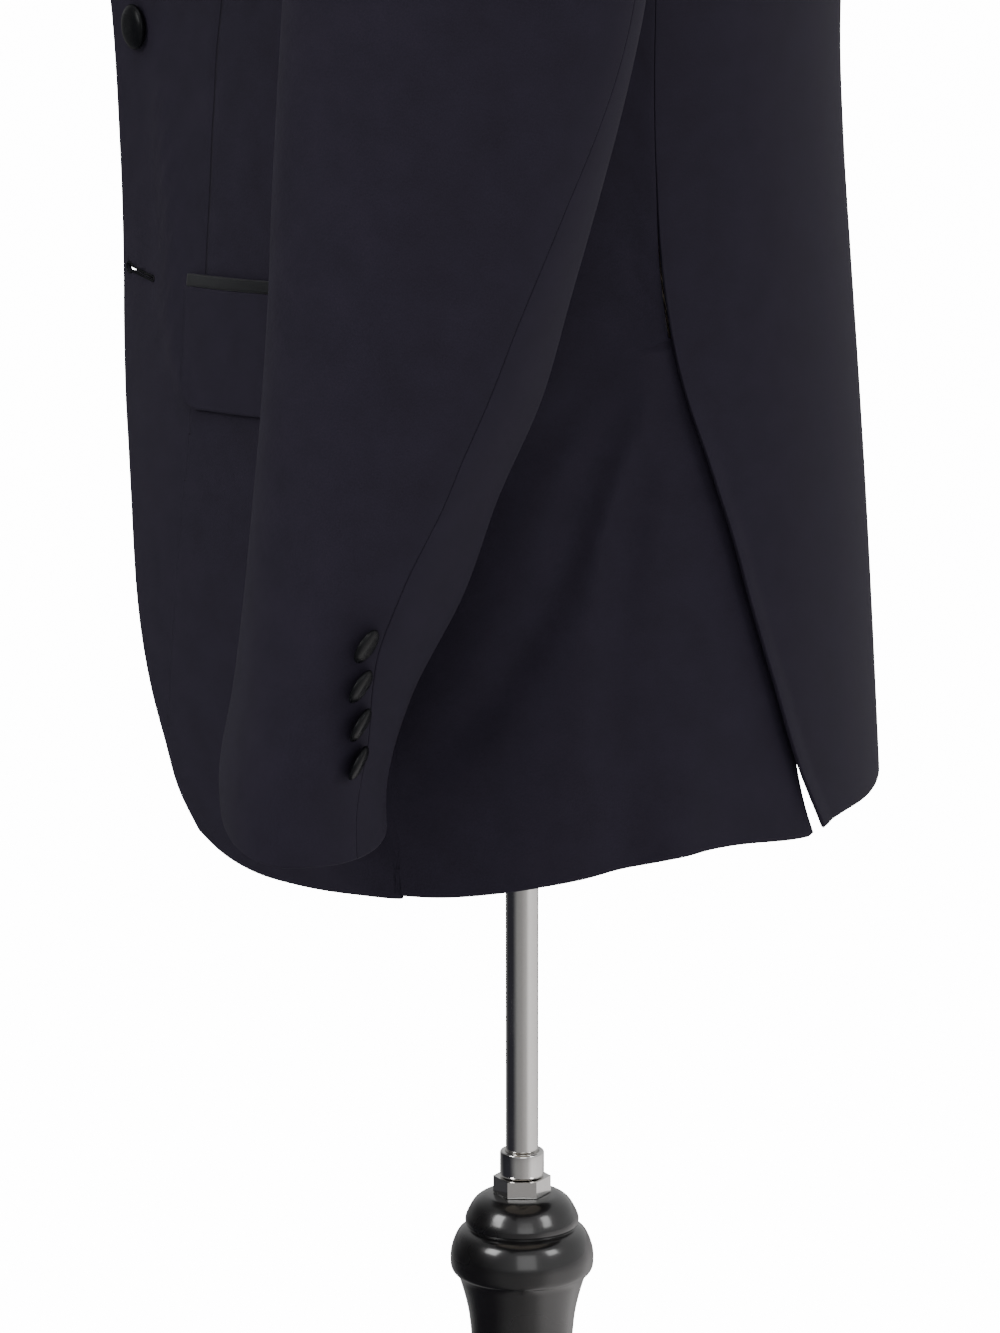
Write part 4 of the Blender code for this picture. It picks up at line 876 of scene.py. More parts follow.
def sew(
    name, node, surface, grid, rims, made_of, slot, sheet,
    mirror=False, held="draped", rests_on="form_torso", mark=None,
):
    """One panel of cloth as a thin wall with rounded edges, in place of its solid.

    The sheet would give the width and length that the panel is cut to, and its area; it is not used.
    """
    coarse = np.linspace(0, 1, 12)
    probe = resample(grid, coarse, coarse)
    probe = surface(probe[..., 0], probe[..., 1], 0.0)
    width = np.linalg.norm(np.diff(probe, axis=1), axis=-1).sum(axis=1)
    height = np.linalg.norm(np.diff(probe, axis=0), axis=-1).sum(axis=0)
    v, u = rim_places(len(grid), height.mean()), rim_places(grid.shape[1], width.mean())
    places = resample(grid, v, u)
    face = surface(places[..., 0], places[..., 1], 0.0)
    out = (surface(places[..., 0], places[..., 1], WALL) - face) / WALL
    left, right, bottom, top = rims
    across = np.minimum(lip(u * width.mean(), left), lip((1 - u) * width.mean(), right))
    along = np.minimum(lip(v * height.mean(), bottom), lip((1 - v) * height.mean(), top))
    half = WALL / 2 * along[:, None] * across[None, :]
    outer = face + out * (half - WALL / 2)[..., None]
    inner = face - out * (half + WALL / 2)[..., None]
    steps_u = np.linalg.norm(np.diff(outer, axis=1), axis=-1)
    steps_v = np.linalg.norm(np.diff(outer, axis=0), axis=-1)
    cut = np.stack([
        np.pad(np.cumsum(steps_u, axis=1), ((0, 0), (1, 0))),
        np.pad(np.cumsum(steps_v, axis=0), ((1, 0), (0, 0))),
    ], axis=-1)
    marks = mark(outer, places) if mark else {}
    if mirror:
        outer, inner, cut = outer[:, ::-1] * MIRRORED, inner[:, ::-1] * MIRRORED, cut[:, ::-1]
        marks = {label: values[:, ::-1] for label, values in marks.items()}
    mesh = wall_mesh(name, outer, inner, cut, marks)
    mesh.materials.append(made_of)
    made = take_place(linked(name, mesh), node)
    return made


def sew_pair(name, node, surface_of, *cut, held="draped", rests_on=None, mark=None):
    """The same panel on the wearer's left and, mirrored, on the right."""
    return [
        sew(
            f"{name}_{side.name}", f"{node}_{side.name}", surface_of(side), *cut, mirror=side is RIGHT, held=held,
            rests_on=f"{rests_on}_{side.name}" if rests_on else "form_torso", mark=mark,
        )
        for side in (LEFT, RIGHT)
    ]


# Wool: fine worsted, nearly black with a cool cast, woven as a close twill, with
# a soft bloom where it catches the light, and painted shade darkening the dart.
def line_of(tree, label, width):
    """1 along a marked line of the panel, falling to 0 at a width from it."""
    node = tree.nodes.new("ShaderNodeAttribute")
    node.attribute_name = label
    return bell(tree, maths(tree, "DIVIDE", maths(tree, "SUBTRACT", node.outputs["Fac"], 1.0), width))


black_worsted, tree, shader = finish(
    "black_worsted", Sheen_Weight=0.02, Sheen_Roughness=0.45, Sheen_Tint=(0.78, 0.72, 1.0, 1.0),
    Specular_IOR_Level=0.08,
)
threads = place_effect(tree, weave, Cut=cut_place(tree), Thread=0.0007, Slant=1.6)
dart_groove_and_shade = line_of(tree, "dart", 0.0007)
dart_pull = line_of(tree, "dart", 0.0045)
# Painted shade: the colour is darkened along the dart's narrow groove, as shade in its crease; the same line also
# sinks the bump.
tone = maths(tree, "SUBTRACT", threads["Fleck"], maths(tree, "MULTIPLY", dart_groove_and_shade, 0.9))
feed(tree, shader.inputs["Base Color"], blend_colours(tree, tone, (0.0069, 0.0056, 0.0095), (0.0184, 0.0153, 0.0252)))
feed(tree, shader.inputs["Roughness"], maths(tree, "MULTIPLY_ADD", threads["Fleck"], 0.2, 0.62))
weave_depth = maths(tree, "MULTIPLY", threads["Height"], 0.12)
groove = maths(tree, "MULTIPLY_ADD", dart_pull, 0.5, maths(tree, "MULTIPLY", dart_groove_and_shade, 0.5))
roughen(tree, shader, maths(tree, "SUBTRACT", weave_depth, groove), 0.0008)

# Backs: two panels sewn together down the centre and to the sides, open below
# as the side vents, whose edges lap over the sides.
VENT_LIFT = 0.0020
VENT_CURL = 0.0075
VENT_LIFT_TOP = 0.980
VENT_LIFT_RISE = 0.050
PAST_VENT_TURN = 150


def back_grid(rows=133, seam_rows=85, shoulder_across=49, neck_across=33):
    seam = seam_run(BACK_SEAM, BACK_NOTCH_ANGLE, BACK_HEM[0][1], seam_rows)
    left = chain(shift(seam, SEAM / 2), armhole_run(BACK_NOTCH_ANGLE, 360, rows - seam_rows + 1))
    right = sample([(180, BACK_HEM[-1][1]), (180, NECK_LEVEL)], rows)
    bottom = hem_run(BACK_HEM, table(BACK_SEAM, BACK_HEM[0][1]), BACK_CENTRE_Y, shoulder_across + neck_across - 1)
    shoulder = sample([(90, SHOULDER_LEVEL), (90, NECK_LEVEL)], shoulder_across)
    neck = sample([(90, NECK_LEVEL), (180, NECK_LEVEL)], neck_across)
    top = chain(shift(shoulder, SEAM / 2), neck)
    left[-1] = top[0]
    right[:] = shift(right, -SEAM / 2)
    top[-1] = right[-1]
    bottom[0] = left[0]
    bottom[-1] = right[0]
    return patch(left, right, bottom, top)


def lifted_vent(side):
    """The cloth of a back, whose vent edge stands a little away from the side below it."""
    def surface(turn, level, out):
        point = side.body(turn, level)
        from_edge = np.maximum(point[..., 1] - table(BACK_SEAM, point[..., 2]), 0)
        low = step((VENT_LIFT_TOP - point[..., 2]) / VENT_LIFT_RISE)
        lift = VENT_LIFT * (1 - step(from_edge / VENT_CURL)) * low * (np.asarray(turn) < PAST_VENT_TURN)
        return side.cloth(turn, level, out + lift)
    return surface


sew_pair(
    "back_panel", "back", lifted_vent, back_grid(), (FREE_RIM, SEAM_RIM, FREE_RIM, SEAM_RIM), black_worsted,
    "black_wool", (0.297, 0.864, 0.162),
)

# Side bodies: one narrow panel under each arm, sewn to the front and the back,
# with an underlap inside the vent.
VENT_TOP = 0.985
VENT_DROP = 0.00355
VENT_DROP_FROM = 0.090
VENT_DROP_ACROSS = 0.070
VENT_DROP_TOP = 1.060
VENT_DROP_RISE = 0.090
FRONT_SEAM_HEM = 0.7545
SIDE_HEM_FRONT = 0.7550
SIDE_HEM_BACK = 0.7670
VENT_TACK = 0.002
UNDERLAP_FROM = 0.86
UNDERLAP = ((0.765, -0.0018), (0.788, 0.0030), (0.8035, 0.0066), (0.820, 0.0092), (0.870, 0.0130), (0.975, 0.0190))
HEM = (
    (-0.0600, 0.7542), (-0.0340, 0.7552), (-0.0098, 0.7583), (0.0100, 0.7616), (0.0324, 0.7655), (0.0496, 0.7685),
    (0.0656, 0.7712), (0.0912, 0.7715), (0.1235, 0.7665), (0.1300, 0.7655),
)


def side_grid(across=80, low_rows=50, high_rows=50):
    hem_front = table(FRONT_SEAM, FRONT_SEAM_HEM)
    front_seam = seam_run(FRONT_SEAM, FRONT_NOTCH_ANGLE, table(HEM, hem_front), 400)
    back_seam = seam_run(BACK_SEAM, BACK_NOTCH_ANGLE, VENT_TOP, high_rows)
    front_heights = np.linspace(SIDE_HEM_FRONT, VENT_TOP - VENT_TACK, low_rows)
    front_low = [at_side(table(FRONT_SEAM, z), z) for z in front_heights]
    low_heights = np.linspace(SIDE_HEM_BACK, VENT_TOP - VENT_TACK, low_rows)
    back_low = [at_side(table(BACK_SEAM, z), z) for z in low_heights]
    front_high = sample([point for point in front_seam if point[1] > VENT_TOP], high_rows)
    left = np.concatenate([shift(front_low, SEAM / 2), shift(front_high, SEAM / 2)])
    right = np.concatenate([back_low, shift(back_seam, -SEAM / 2)])
    bottom = hem_run(HEM, hem_front, table(BACK_SEAM, SIDE_HEM_BACK), across)
    top = armhole_run(FRONT_NOTCH_ANGLE, BACK_NOTCH_ANGLE, across)
    bottom[0] = left[0]
    bottom[-1] = right[0]
    top[0] = left[-1]
    top[-1] = right[-1]
    grid = patch(left, right, bottom, top)
    last = step((np.linspace(0, 1, across) - UNDERLAP_FROM) / (1 - UNDERLAP_FROM))
    for row, z in enumerate(low_heights):
        grid[row] = shift(grid[row], last * table(UNDERLAP, z))
    return grid


def inside_vent(side):
    """The cloth of a side body, whose vent edge lies inside the back."""
    def surface(turn, level, out):
        point = side.body(turn, level)
        edge = table(BACK_SEAM, point[..., 2])
        near = step((point[..., 1] - edge + VENT_DROP_FROM) / VENT_DROP_ACROSS)
        low = step((VENT_DROP_TOP - point[..., 2]) / VENT_DROP_RISE)
        return side.cloth(turn, level, out - VENT_DROP * near * low)
    return surface


sew_pair(
    "side_panel", "side", inside_vent, side_grid(), (SEAM_RIM, SEAM_RIM, FREE_RIM, SEAM_RIM), black_worsted,
    "black_wool", (0.211, 0.534, 0.064),
)

# Fronts: two panels, each with a dart from the chest to the pocket, cut away
# below the lower button; the left one laps over the right.
FRONT_EDGE = (
    (0.7620, 0.1160), (0.7760, 0.0968), (0.7960, 0.0800), (0.8140, 0.0635), (0.8320, 0.0495), (0.8500, 0.0380),
    (0.8700, 0.0275), (0.8920, 0.0160), (0.9120, 0.0040), (0.9320, -0.0090), (0.9620, -0.0205), (0.9980, -0.0262),
    (1.0400, -0.0268), (1.1180, -0.0270),
)
FRONT_HEM = (
    (0.1160, 0.7620), (0.1352, 0.7560), (0.1559, 0.7525), (0.1866, 0.7515), (0.2152, 0.7522), (0.2386, 0.7538),
)
ROLL_START = (-0.0235, 1.118)
ROLL_END = (0.0806, 1.530)
CLOSURE_DROP = (
    (0.860, 0.0), (0.900, 0.0030), (0.940, 0.0065), (0.970, 0.0098), (1.010, 0.0098), (1.050, 0.0068),
    (1.200, 0.0070), (1.250, 0.0050), (1.320, 0.0),
)
CLOSURE_TURNS = (3, 15)
CENTRE_BEND_TURN = 4


def roll(z):
    """Place of the roll line, seen from the front, at a height."""
    along = (z - ROLL_START[1]) / (ROLL_END[1] - ROLL_START[1])
    return ROLL_START[0] + along * (ROLL_END[0] - ROLL_START[0])


def front_grid(rows=160, across=140, low_rows=90, seam_rows=90):
    low = np.linspace(FRONT_EDGE[0][0], ROLL_START[1], low_rows)
    high = np.linspace(ROLL_START[1], ROLL_END[1], rows - low_rows + 1)
    edge = np.array([at_round(table(FRONT_EDGE, z), z) for z in low])
    rolled = np.array([at_front(roll(z), z) for z in high])
    left = chain(edge, rolled)
    left[-1] = (90, NECK_LEVEL)
    hem_z = table(HEM, table(FRONT_SEAM, FRONT_SEAM_HEM))
    seam = seam_run(FRONT_SEAM, FRONT_NOTCH_ANGLE, hem_z, seam_rows)
    right = chain(seam, armhole_run(FRONT_NOTCH_ANGLE, 0, rows - seam_rows + 1))
    right[:seam_rows] = shift(right[:seam_rows], -SEAM / 2)
    bottom = sample([at_round(distance, z) for distance, z in FRONT_HEM] + [right[0]], across)
    top = sample([(90, NECK_LEVEL), (90, SHOULDER_LEVEL)], across)
    for run in (left[-1:], right[-1:], top):
        run[:] = shift(run, -SEAM / 2)
    return patch(left, right, bottom, top)


def under_front(side):
    """The front that lies inside; past the centre it bends back behind the other front."""
    def surface(turn, level, out):
        crossed = np.where(turn[..., None] < 0, MIRRORED, 1.0)
        point = side.body(np.abs(turn), level) * crossed
        straight = facing(side.body, np.maximum(np.abs(turn), 0.5), level) * crossed
        bent = step(np.abs(turn) / CENTRE_BEND_TURN)[..., None]
        direction = unit(straight * bent + np.array([0.0, -1.0, 0.0]) * (1 - bent))
        inside = table(CLOSURE_DROP, level) * (1 - step((turn - CLOSURE_TURNS[0]) / CLOSURE_TURNS[1]))
        return point + direction * (np.asarray(out) - inside)[..., None]
    return surface


def front_cloth(side):
    """The cloth of a front; the right one lies inside."""
    return under_front(side) if side is RIGHT else side.cloth


def dart_distance(outer, places):
    """Signed distance to the dart's seam plus 1, so that only panels without the mark have 0."""
    level = outer[..., 2]
    course = smooth(DART_HEIGHTS, DART_TURNS, level)
    speed = np.linalg.norm(LEFT.body(course + 0.5, level) - LEFT.body(course - 0.5, level), axis=-1)
    away = (places[..., 0] - course) * speed
    ends = np.maximum(np.maximum(DART_HEIGHTS[0] - level, level - DART_HEIGHTS[-1]), 0)
    return {"dart": 1.0 + np.hypot(away, ends) * np.where(away < 0, -1, 1)}


DART_PLACES = (
    (0.996, -0.1358), (1.014, -0.1347), (1.038, -0.1330), (1.068, -0.1313), (1.098, -0.1290), (1.116, -0.1266),
    (1.170, -0.1240), (1.230, -0.1225),
)
DART_HEIGHTS = [z for z, y in DART_PLACES]
DART_TURNS = [at_side(y, z)[0] for z, y in DART_PLACES]
left_front = sew_pair(
    "front_panel", "front", front_cloth, front_grid(), (FREE_RIM, SEAM_RIM, FREE_RIM, SEAM_RIM), black_worsted,
    "black_wool", (0.299, 0.900, 0.166), mark=dart_distance,
)[0]

# Satin: duchesse silk for the jets, the lapels and the collar, close and smooth,
# faintly green, with a soft wide shine.
def satin(name, slant, dark, light, flecked, least, depth, **constants):
    """A close silk satin, whose roughness is a share of its flecks above a least value."""
    made, tree, shader = finish(name, **constants)
    threads = place_effect(tree, weave, Cut=cut_place(tree), Thread=0.0004, Slant=slant)
    feed(tree, shader.inputs["Base Color"], blend_colours(tree, threads["Fleck"], dark, light))
    feed(tree, shader.inputs["Roughness"], maths(tree, "MULTIPLY_ADD", threads["Fleck"], flecked, least))
    roughen(tree, shader, maths(tree, "MULTIPLY", threads["Height"], 0.05), depth)
    return made


black_duchesse = satin(
    "black_duchesse", 0.2, (0.0034, 0.0037, 0.0042), (0.0066, 0.0071, 0.0080), 0.12, 0.30, 0.0008,
    Sheen_Weight=0.08, Specular_IOR_Level=0.14,
)

# Pockets: a satin jet sewn along the upper edge of each slit and a wool flap
# below it with rounded corners, both rising slightly towards the back.
FLAP_FRONT_Y = -0.1430
FLAP_TOP = 0.9922
FLAP_LENGTH = 0.155
FLAP_DEPTH = 0.0515
FLAP_CORNER = 0.015
FLAP_SLANT = 0.18
FLAP_RISE = 0.06
JET_HEIGHT = 0.0055
JET_WALL = 0.0015
POCKET_LIFT = 0.00095


def pocket_start():
    """Distance round the body from the centre to the front end of the pocket."""
    turn, level = at_side(FLAP_FRONT_Y, FLAP_TOP)
    return np.interp(turn, TURNS, ROUND[:, np.searchsorted(LEVELS, level)])


def flap_grid(across=72, down=34):
    start = pocket_start()
    bend = FLAP_CORNER * (1 - np.cos(np.linspace(0, math.pi / 2, 9)))
    places = np.concatenate([
        bend, np.linspace(FLAP_CORNER, FLAP_LENGTH - FLAP_CORNER, across - 16)[1:-1], FLAP_LENGTH - bend[::-1],
    ])
    inset = np.maximum(np.maximum(FLAP_CORNER - places, places - FLAP_LENGTH + FLAP_CORNER), 0)
    bottom = FLAP_TOP - FLAP_DEPTH + FLAP_CORNER - np.sqrt(FLAP_CORNER ** 2 - inset ** 2)
    return np.array([
        [
            at_round(start + place + FLAP_SLANT * (FLAP_TOP - z), z + FLAP_RISE * place)
            for place, z in zip(places, FLAP_TOP + (bottom - FLAP_TOP) * share)
        ]
        for share in np.linspace(1, 0, down)
    ])


def jet_grid(across=60, down=9):
    start = pocket_start()
    return np.array([
        [at_round(start + place, z + FLAP_RISE * place) for place in np.linspace(0, FLAP_LENGTH, across)]
        for z in np.linspace(FLAP_TOP + SEAM, FLAP_TOP + SEAM + JET_HEIGHT, down)
    ])


def raised(lift, thick):
    """The outer face of a layer at a lift over a front, scaled to its thickness as if it were a full wall."""
    def surface_of(side):
        under = front_cloth(side)
        return lambda turn, level, out: under(turn, level, lift + thick * (1 + out / WALL))
    return surface_of


sew_pair(
    "pocket_flap", "flap", raised(POCKET_LIFT, WALL), flap_grid(), (FREE_RIM, FREE_RIM, FREE_RIM, SEAM_RIM),
    black_worsted, "black_wool", (0.175, 0.052, 0.0083), held="hung", rests_on="front",
)
sew_pair(
    "pocket_jet", "jet", raised(POCKET_LIFT, JET_WALL), jet_grid(), (FREE_RIM, FREE_RIM, FREE_RIM, FREE_RIM),
    black_duchesse, "black_satin", (0.157, 0.011, 0.0009), held="stretched", rests_on="front",
)

# Lapels: satin-faced revers that fold out along the roll line and lie on the
# fronts, with a peak towards the shoulder below the notch.
LAPEL_LIFT = 0.00155
ROLL_ROOM = 0.0006
GORGE_ROOM = 0.0016
GORGE_ROLL_Z = 1.452
NOTCH = (0.0930, 1.4030)
LAPEL_TIP = (0.1270, 1.3800)
LAPEL_EDGE = (
    (-0.0200, 1.1180), (0.0060, 1.1520), (0.0420, 1.2060), (0.0780, 1.2680), (0.1080, 1.3320), LAPEL_TIP,
)


def lapel_grid(rows=90, notch_row=25, across=41):
    heights = np.linspace(ROLL_START[1] + WALL, GORGE_ROLL_Z, rows)
    rolled = np.array([at_front(roll(z) + ROLL_ROOM, z) for z in heights])
    edge = sample([at_front(x, z) for x, z in LAPEL_EDGE], rows)
    notch = at_front(*NOTCH)
    gorge = chain(sample([rolled[-1], notch], notch_row), sample([notch, edge[-1]], across - notch_row + 1))
    return patch(rolled, edge, sample([rolled[0], edge[0]], across), gorge)


sew_pair(
    "lapel_facing", "lapel", raised(LAPEL_LIFT, WALL), lapel_grid(), (SEAM_RIM, FREE_RIM, SEAM_RIM, SEAM_RIM),
    black_duchesse, "black_satin", (0.112, 0.368, 0.0189), held="laid", rests_on="front",
)

# Collar: a satin-faced fall that lies over the neck, and the wool stand inside
# it that joins it to the neck seam.
FOLD_LEVEL = 1.555
COLLAR_TIP = (0.1200, 1.4290)
COLLAR_FOLD_FRONT = ((1.490, 1.490), (1.520, 1.522))
COLLAR_FOLD_BACK = ((105, 1.545), (135, FOLD_LEVEL), (180, FOLD_LEVEL))
COLLAR_EDGE_FRONT = (0.137, 1.470)
COLLAR_EDGE_BACK = ((90, 1.503), (130, 1.512), (180, 1.515))
COLLAR_STAND_TURN = 88
COLLAR_SWELL = 0.0018


def collar_grid(rows=90, notch_row=20, across=33):
    start = at_front(roll(GORGE_ROLL_Z) + ROLL_ROOM, GORGE_ROLL_Z + GORGE_ROOM)
    beside = [at_front(roll(roll_z), z) for roll_z, z in COLLAR_FOLD_FRONT]
    fold = sample([start, *beside, *COLLAR_FOLD_BACK], rows)
    tip = at_front(*COLLAR_TIP)
    outer = sample([tip, at_front(*COLLAR_EDGE_FRONT), *COLLAR_EDGE_BACK], rows)
    notch = at_front(NOTCH[0] + GORGE_ROOM / 2, NOTCH[1] + GORGE_ROOM)
    front_end = chain(sample([start, notch], notch_row), sample([notch, tip], across - notch_row + 1))
    half = patch(fold, outer, front_end, sample([fold[-1], outer[-1]], across))
    other_half = np.array([360.0, 0.0]) + half[:-1] * np.array([-1.0, 1.0])
    return np.concatenate([half, other_half[::-1]])


def both_halves(surface):
    """A surface on which turns past 180 lie on the wearer's right."""
    def whole(turn, level, out):
        point = surface(np.where(turn > 180, 360 - turn, turn), level, out)
        return point * np.where(turn[..., None] > 180, MIRRORED, 1.0)
    return whole


def fall(turn, level, out):
    """The collar's fall, which swells out between its fold and its edge."""
    u = np.linspace(0, 1, turn.shape[1])[None, :]
    return LEFT.cloth(turn, level, LAPEL_LIFT + WALL + out + COLLAR_SWELL * np.sin(math.pi * u))


def stand_grid(rows=14, across=70):
    levels = np.linspace(NECK_LEVEL + 4 * SEAM, FOLD_LEVEL - WALL, rows)
    turns = np.linspace(COLLAR_STAND_TURN, 360 - COLLAR_STAND_TURN, across)
    return np.stack(np.meshgrid(turns, levels), axis=-1)


sew(
    "collar_fall", "collar", both_halves(fall), collar_grid(), (FREE_RIM, FREE_RIM, SEAM_RIM, SEAM_RIM),
    black_duchesse, "black_satin", (0.131, 0.728, 0.0482), rests_on="back_left",
)
sew(
    "collar_inner_stand", "collar_stand", both_halves(LEFT.cloth), stand_grid(),
    (SEAM_RIM, SEAM_RIM, SEAM_RIM, SEAM_RIM), black_worsted, "black_wool", (0.234, 0.026, 0.0059),
    rests_on="back_left",
)

# Sleeves: a wide top and a narrow under panel each, eased into the armhole and
# left open at the cuff, whose elbow seam ends in a vent with the buttons.
SLEEVE = (
    (0.770, -0.1200, -0.0530, 0.1900, 0.2940, 0.2060, 0.2350),
    (0.817, -0.1235, -0.0540, 0.1895, 0.2945, 0.2050, 0.2300),
    (0.850, -0.1175, -0.0440, 0.1900, 0.2950, 0.2150, 0.2250),
    (0.891, -0.1115, -0.0230, 0.1910, 0.2955, 0.2350, 0.2200),
    (0.931, -0.1070, -0.0090, 0.1925, 0.2960, 0.2450, 0.2250),
    (0.971, -0.1030, 0.0080, 0.1945, 0.2965, 0.2470, 0.2320),
    (1.011, -0.1000, 0.0190, 0.1960, 0.2970, 0.2480, 0.2400),
    (1.051, -0.0980, 0.0300, 0.1975, 0.2975, 0.2490, 0.2450),
    (1.090, -0.0956, 0.0400, 0.1990, 0.2980, 0.2500, 0.2480),
    (1.129, -0.0930, 0.0480, 0.2000, 0.2985, 0.2500, 0.2500),
    (1.175, -0.0910, 0.0530, 0.2010, 0.2985, 0.2500, 0.2500),
)
SLEEVE_ROW = columns(("z", "y_front", "y_back", "x_inner", "x_outer", "x_front", "x_back"), SLEEVE)
SLEEVE_FULLNESS = 0.58
SLEEVE_MIDDLE = 0.42
SLEEVE_TOP_Z = 1.175
ARMHOLE_CLEARANCE = 0.0020
ARMHOLE_ELBOW_ANGLE = -80.0
CROWN_ELBOW_ANGLE = -70.0
FOREARM_ANGLE = 130.0
CUFF = (
    (0.0, 0.7935), (60.0, 0.799), (110.0, 0.812), (150.0, 0.812), (200.0, 0.802), (290.0, 0.793),
    (360.0, 0.7935),
)
ELBOW_SEAM = (
    (0.783, -0.0645), (0.835, -0.0615), (0.884, -0.0545), (0.905, -0.0460), (0.935, -0.0310), (0.958, -0.0215),
    (0.990, -0.0080), (1.0465, 0.0150), (1.107, 0.0380),
)
CAP_WAY_LOW = np.array([1.0, 0.0, -0.55])
CAP_WAY_HIGH = np.array([1.0, 0.0, -0.22])
CAP_PULL_START = 0.85
CAP_PULL_END = 1.05
CAP_PROBE = 0.01
ELBOW_ANGLES = np.linspace(-89, -1, 177)
SLEEVE_FOLDS = (
    ("long hollow", 0.016, (
        (0.010, 1.165, 0.0), (0.003, 1.133, -0.0030), (-0.016, 1.057, -0.0040), (-0.035, 0.999, -0.0045),
        (-0.047, 0.960, -0.0035), (-0.058, 0.895, 0.0),
    )),
)


def sleeve_ring(angle, z):
    """Point on the sleeve at a height; angle 0 is outside, 90 in front and 180 next to the body."""
    angle, z = np.broadcast_arrays(np.mod(np.asarray(angle, float), 360), np.asarray(z, float))
    row = {name: smooth(SLEEVE_ROW["z"], column, z) for name, column in SLEEVE_ROW.items()}
    middle = row["y_front"] + SLEEVE_MIDDLE * (row["y_back"] - row["y_front"])
    to_side = np.where((angle < 90) | (angle >= 270), row["x_outer"], row["x_inner"])
    forward = angle < 180
    to_end = np.where(forward, row["y_front"], row["y_back"])
    end_x = np.where(forward, row["x_front"], row["x_back"])
    quarter = np.mod(angle, 180) / 90
    t = np.where(quarter <= 1, quarter, 2 - quarter)
    x = bezier(t, to_side, to_side, end_x + SLEEVE_FULLNESS * (to_side - end_x), end_x)
    y = bezier(t, middle, middle + SLEEVE_FULLNESS * (to_end - middle), to_end, to_end)
    outside = step(np.cos(np.radians(angle)) * 2)
    return np.stack([x + fold_height(y, z, SLEEVE_FOLDS) * outside, y, z], axis=-1)


def sleeve_face(side, angle, along):
    """Point on a sleeve's outer face; along is -1 at the armhole, 0 below the crown and 1 at the cuff."""
    angle, along = np.broadcast_arrays(np.asarray(angle, float), np.asarray(along, float))
    hem_angles, hem_heights = zip(*CUFF)
    cuff_z = smooth(hem_angles, hem_heights, np.mod(angle, 360))
    lower = sleeve_ring(angle, SLEEVE_TOP_Z + (cuff_z - SLEEVE_TOP_Z) * np.maximum(along, 0))
    start = np.stack([np.interp(np.mod(angle, 360), ARMHOLE_ANGLES, column) for column in side.armhole.T], axis=-1)
    end = sleeve_ring(angle, SLEEVE_TOP_Z + 0 * angle)
    below = sleeve_ring(angle, SLEEVE_TOP_Z - CAP_PROBE + 0 * angle)
    reach = np.linalg.norm(end - start, axis=-1, keepdims=True)
    crown = (1 + np.cos(np.radians(angle)))[..., None] / 2
    leave = unit(CAP_WAY_LOW * (1 - crown) + CAP_WAY_HIGH * crown) * reach * CAP_PULL_START
    arrive = unit(below - end) * reach * CAP_PULL_END
    t = np.clip(along + 1, 0, 1)[..., None]
    cap = (
        (1 + 2 * t) * (1 - t) ** 2 * start + t * (1 - t) ** 2 * leave
        + t * t * (3 - 2 * t) * end - t * t * (1 - t) * arrive
    )
    return np.where((along < 0)[..., None], cap, lower)


ARMHOLE_ANGLES = np.linspace(0, 360, 721)
for side in (LEFT, RIGHT):
    side.armhole = side.cloth(*armhole(ARMHOLE_ANGLES, ARMHOLE_CLEARANCE), 0.0)


def sleeve(side):
    """A sleeve's surface by angle and place along it."""
    def surface(angle, along, out):
        face = sleeve_face(side, angle, along)
        across = sleeve_face(side, angle + 0.5, along) - sleeve_face(side, angle - 0.5, along)
        low, high = np.minimum(along + 0.004, 1), np.maximum(along - 0.004, -1)
        down = sleeve_face(side, angle, low) - sleeve_face(side, angle, high)
        return face + unit(np.cross(across, down)) * np.asarray(out)[..., None]
    return surface


def elbow_angle(along):
    """Angle of the elbow seam along the sleeve."""
    stations, values = [-1.0, 0.0], [ARMHOLE_ELBOW_ANGLE, CROWN_ELBOW_ANGLE]
    for z, y in reversed(ELBOW_SEAM):
        ring = sleeve_ring(ELBOW_ANGLES, z)
        stations.append((SLEEVE_TOP_Z - z) / (SLEEVE_TOP_Z - CUFF[0][1]))
        values.append(np.interp(-y, -ring[:, 1], ELBOW_ANGLES))
    return smooth(stations, values, along)


def sleeve_gap(angle, along):
    """Half a seam's gap on the sleeve, as an angle."""
    ahead, behind = sleeve_face(LEFT, angle + 1.0, along), sleeve_face(LEFT, angle - 1.0, along)
    return SEAM / np.linalg.norm(ahead - behind, axis=-1)


def sleeve_grid(from_elbow, across):
    along = np.concatenate([np.linspace(-1, 0, 34), np.linspace(0, 1, 90)[1:]])[::-1]
    elbow = elbow_angle(along)
    forearm = 0 * elbow + FOREARM_ANGLE
    start, end = (elbow, forearm) if from_elbow else (forearm, elbow + 360)
    low = (start + sleeve_gap(start, along))[:, None]
    high = (end - sleeve_gap(end, along))[:, None]
    angle = low + (high - low) * np.linspace(0, 1, across)[None, :]
    return np.stack([angle, along[:, None] + 0 * angle], axis=-1)[:, ::-1]


sew_pair(
    "sleeve_top_panel", "sleeve_top", sleeve, sleeve_grid(True, 66), (SEAM_RIM, SEAM_RIM, FREE_RIM, SEAM_RIM),
    black_worsted, "black_wool", (0.324, 0.682, 0.120), held="hung", rests_on="front",
)
sew_pair(
    "sleeve_under_panel", "sleeve_under", sleeve, sleeve_grid(False, 44), (SEAM_RIM, SEAM_RIM, FREE_RIM, SEAM_RIM),
    black_worsted, "black_wool", (0.220, 0.604, 0.083), held="hung", rests_on="side",
)

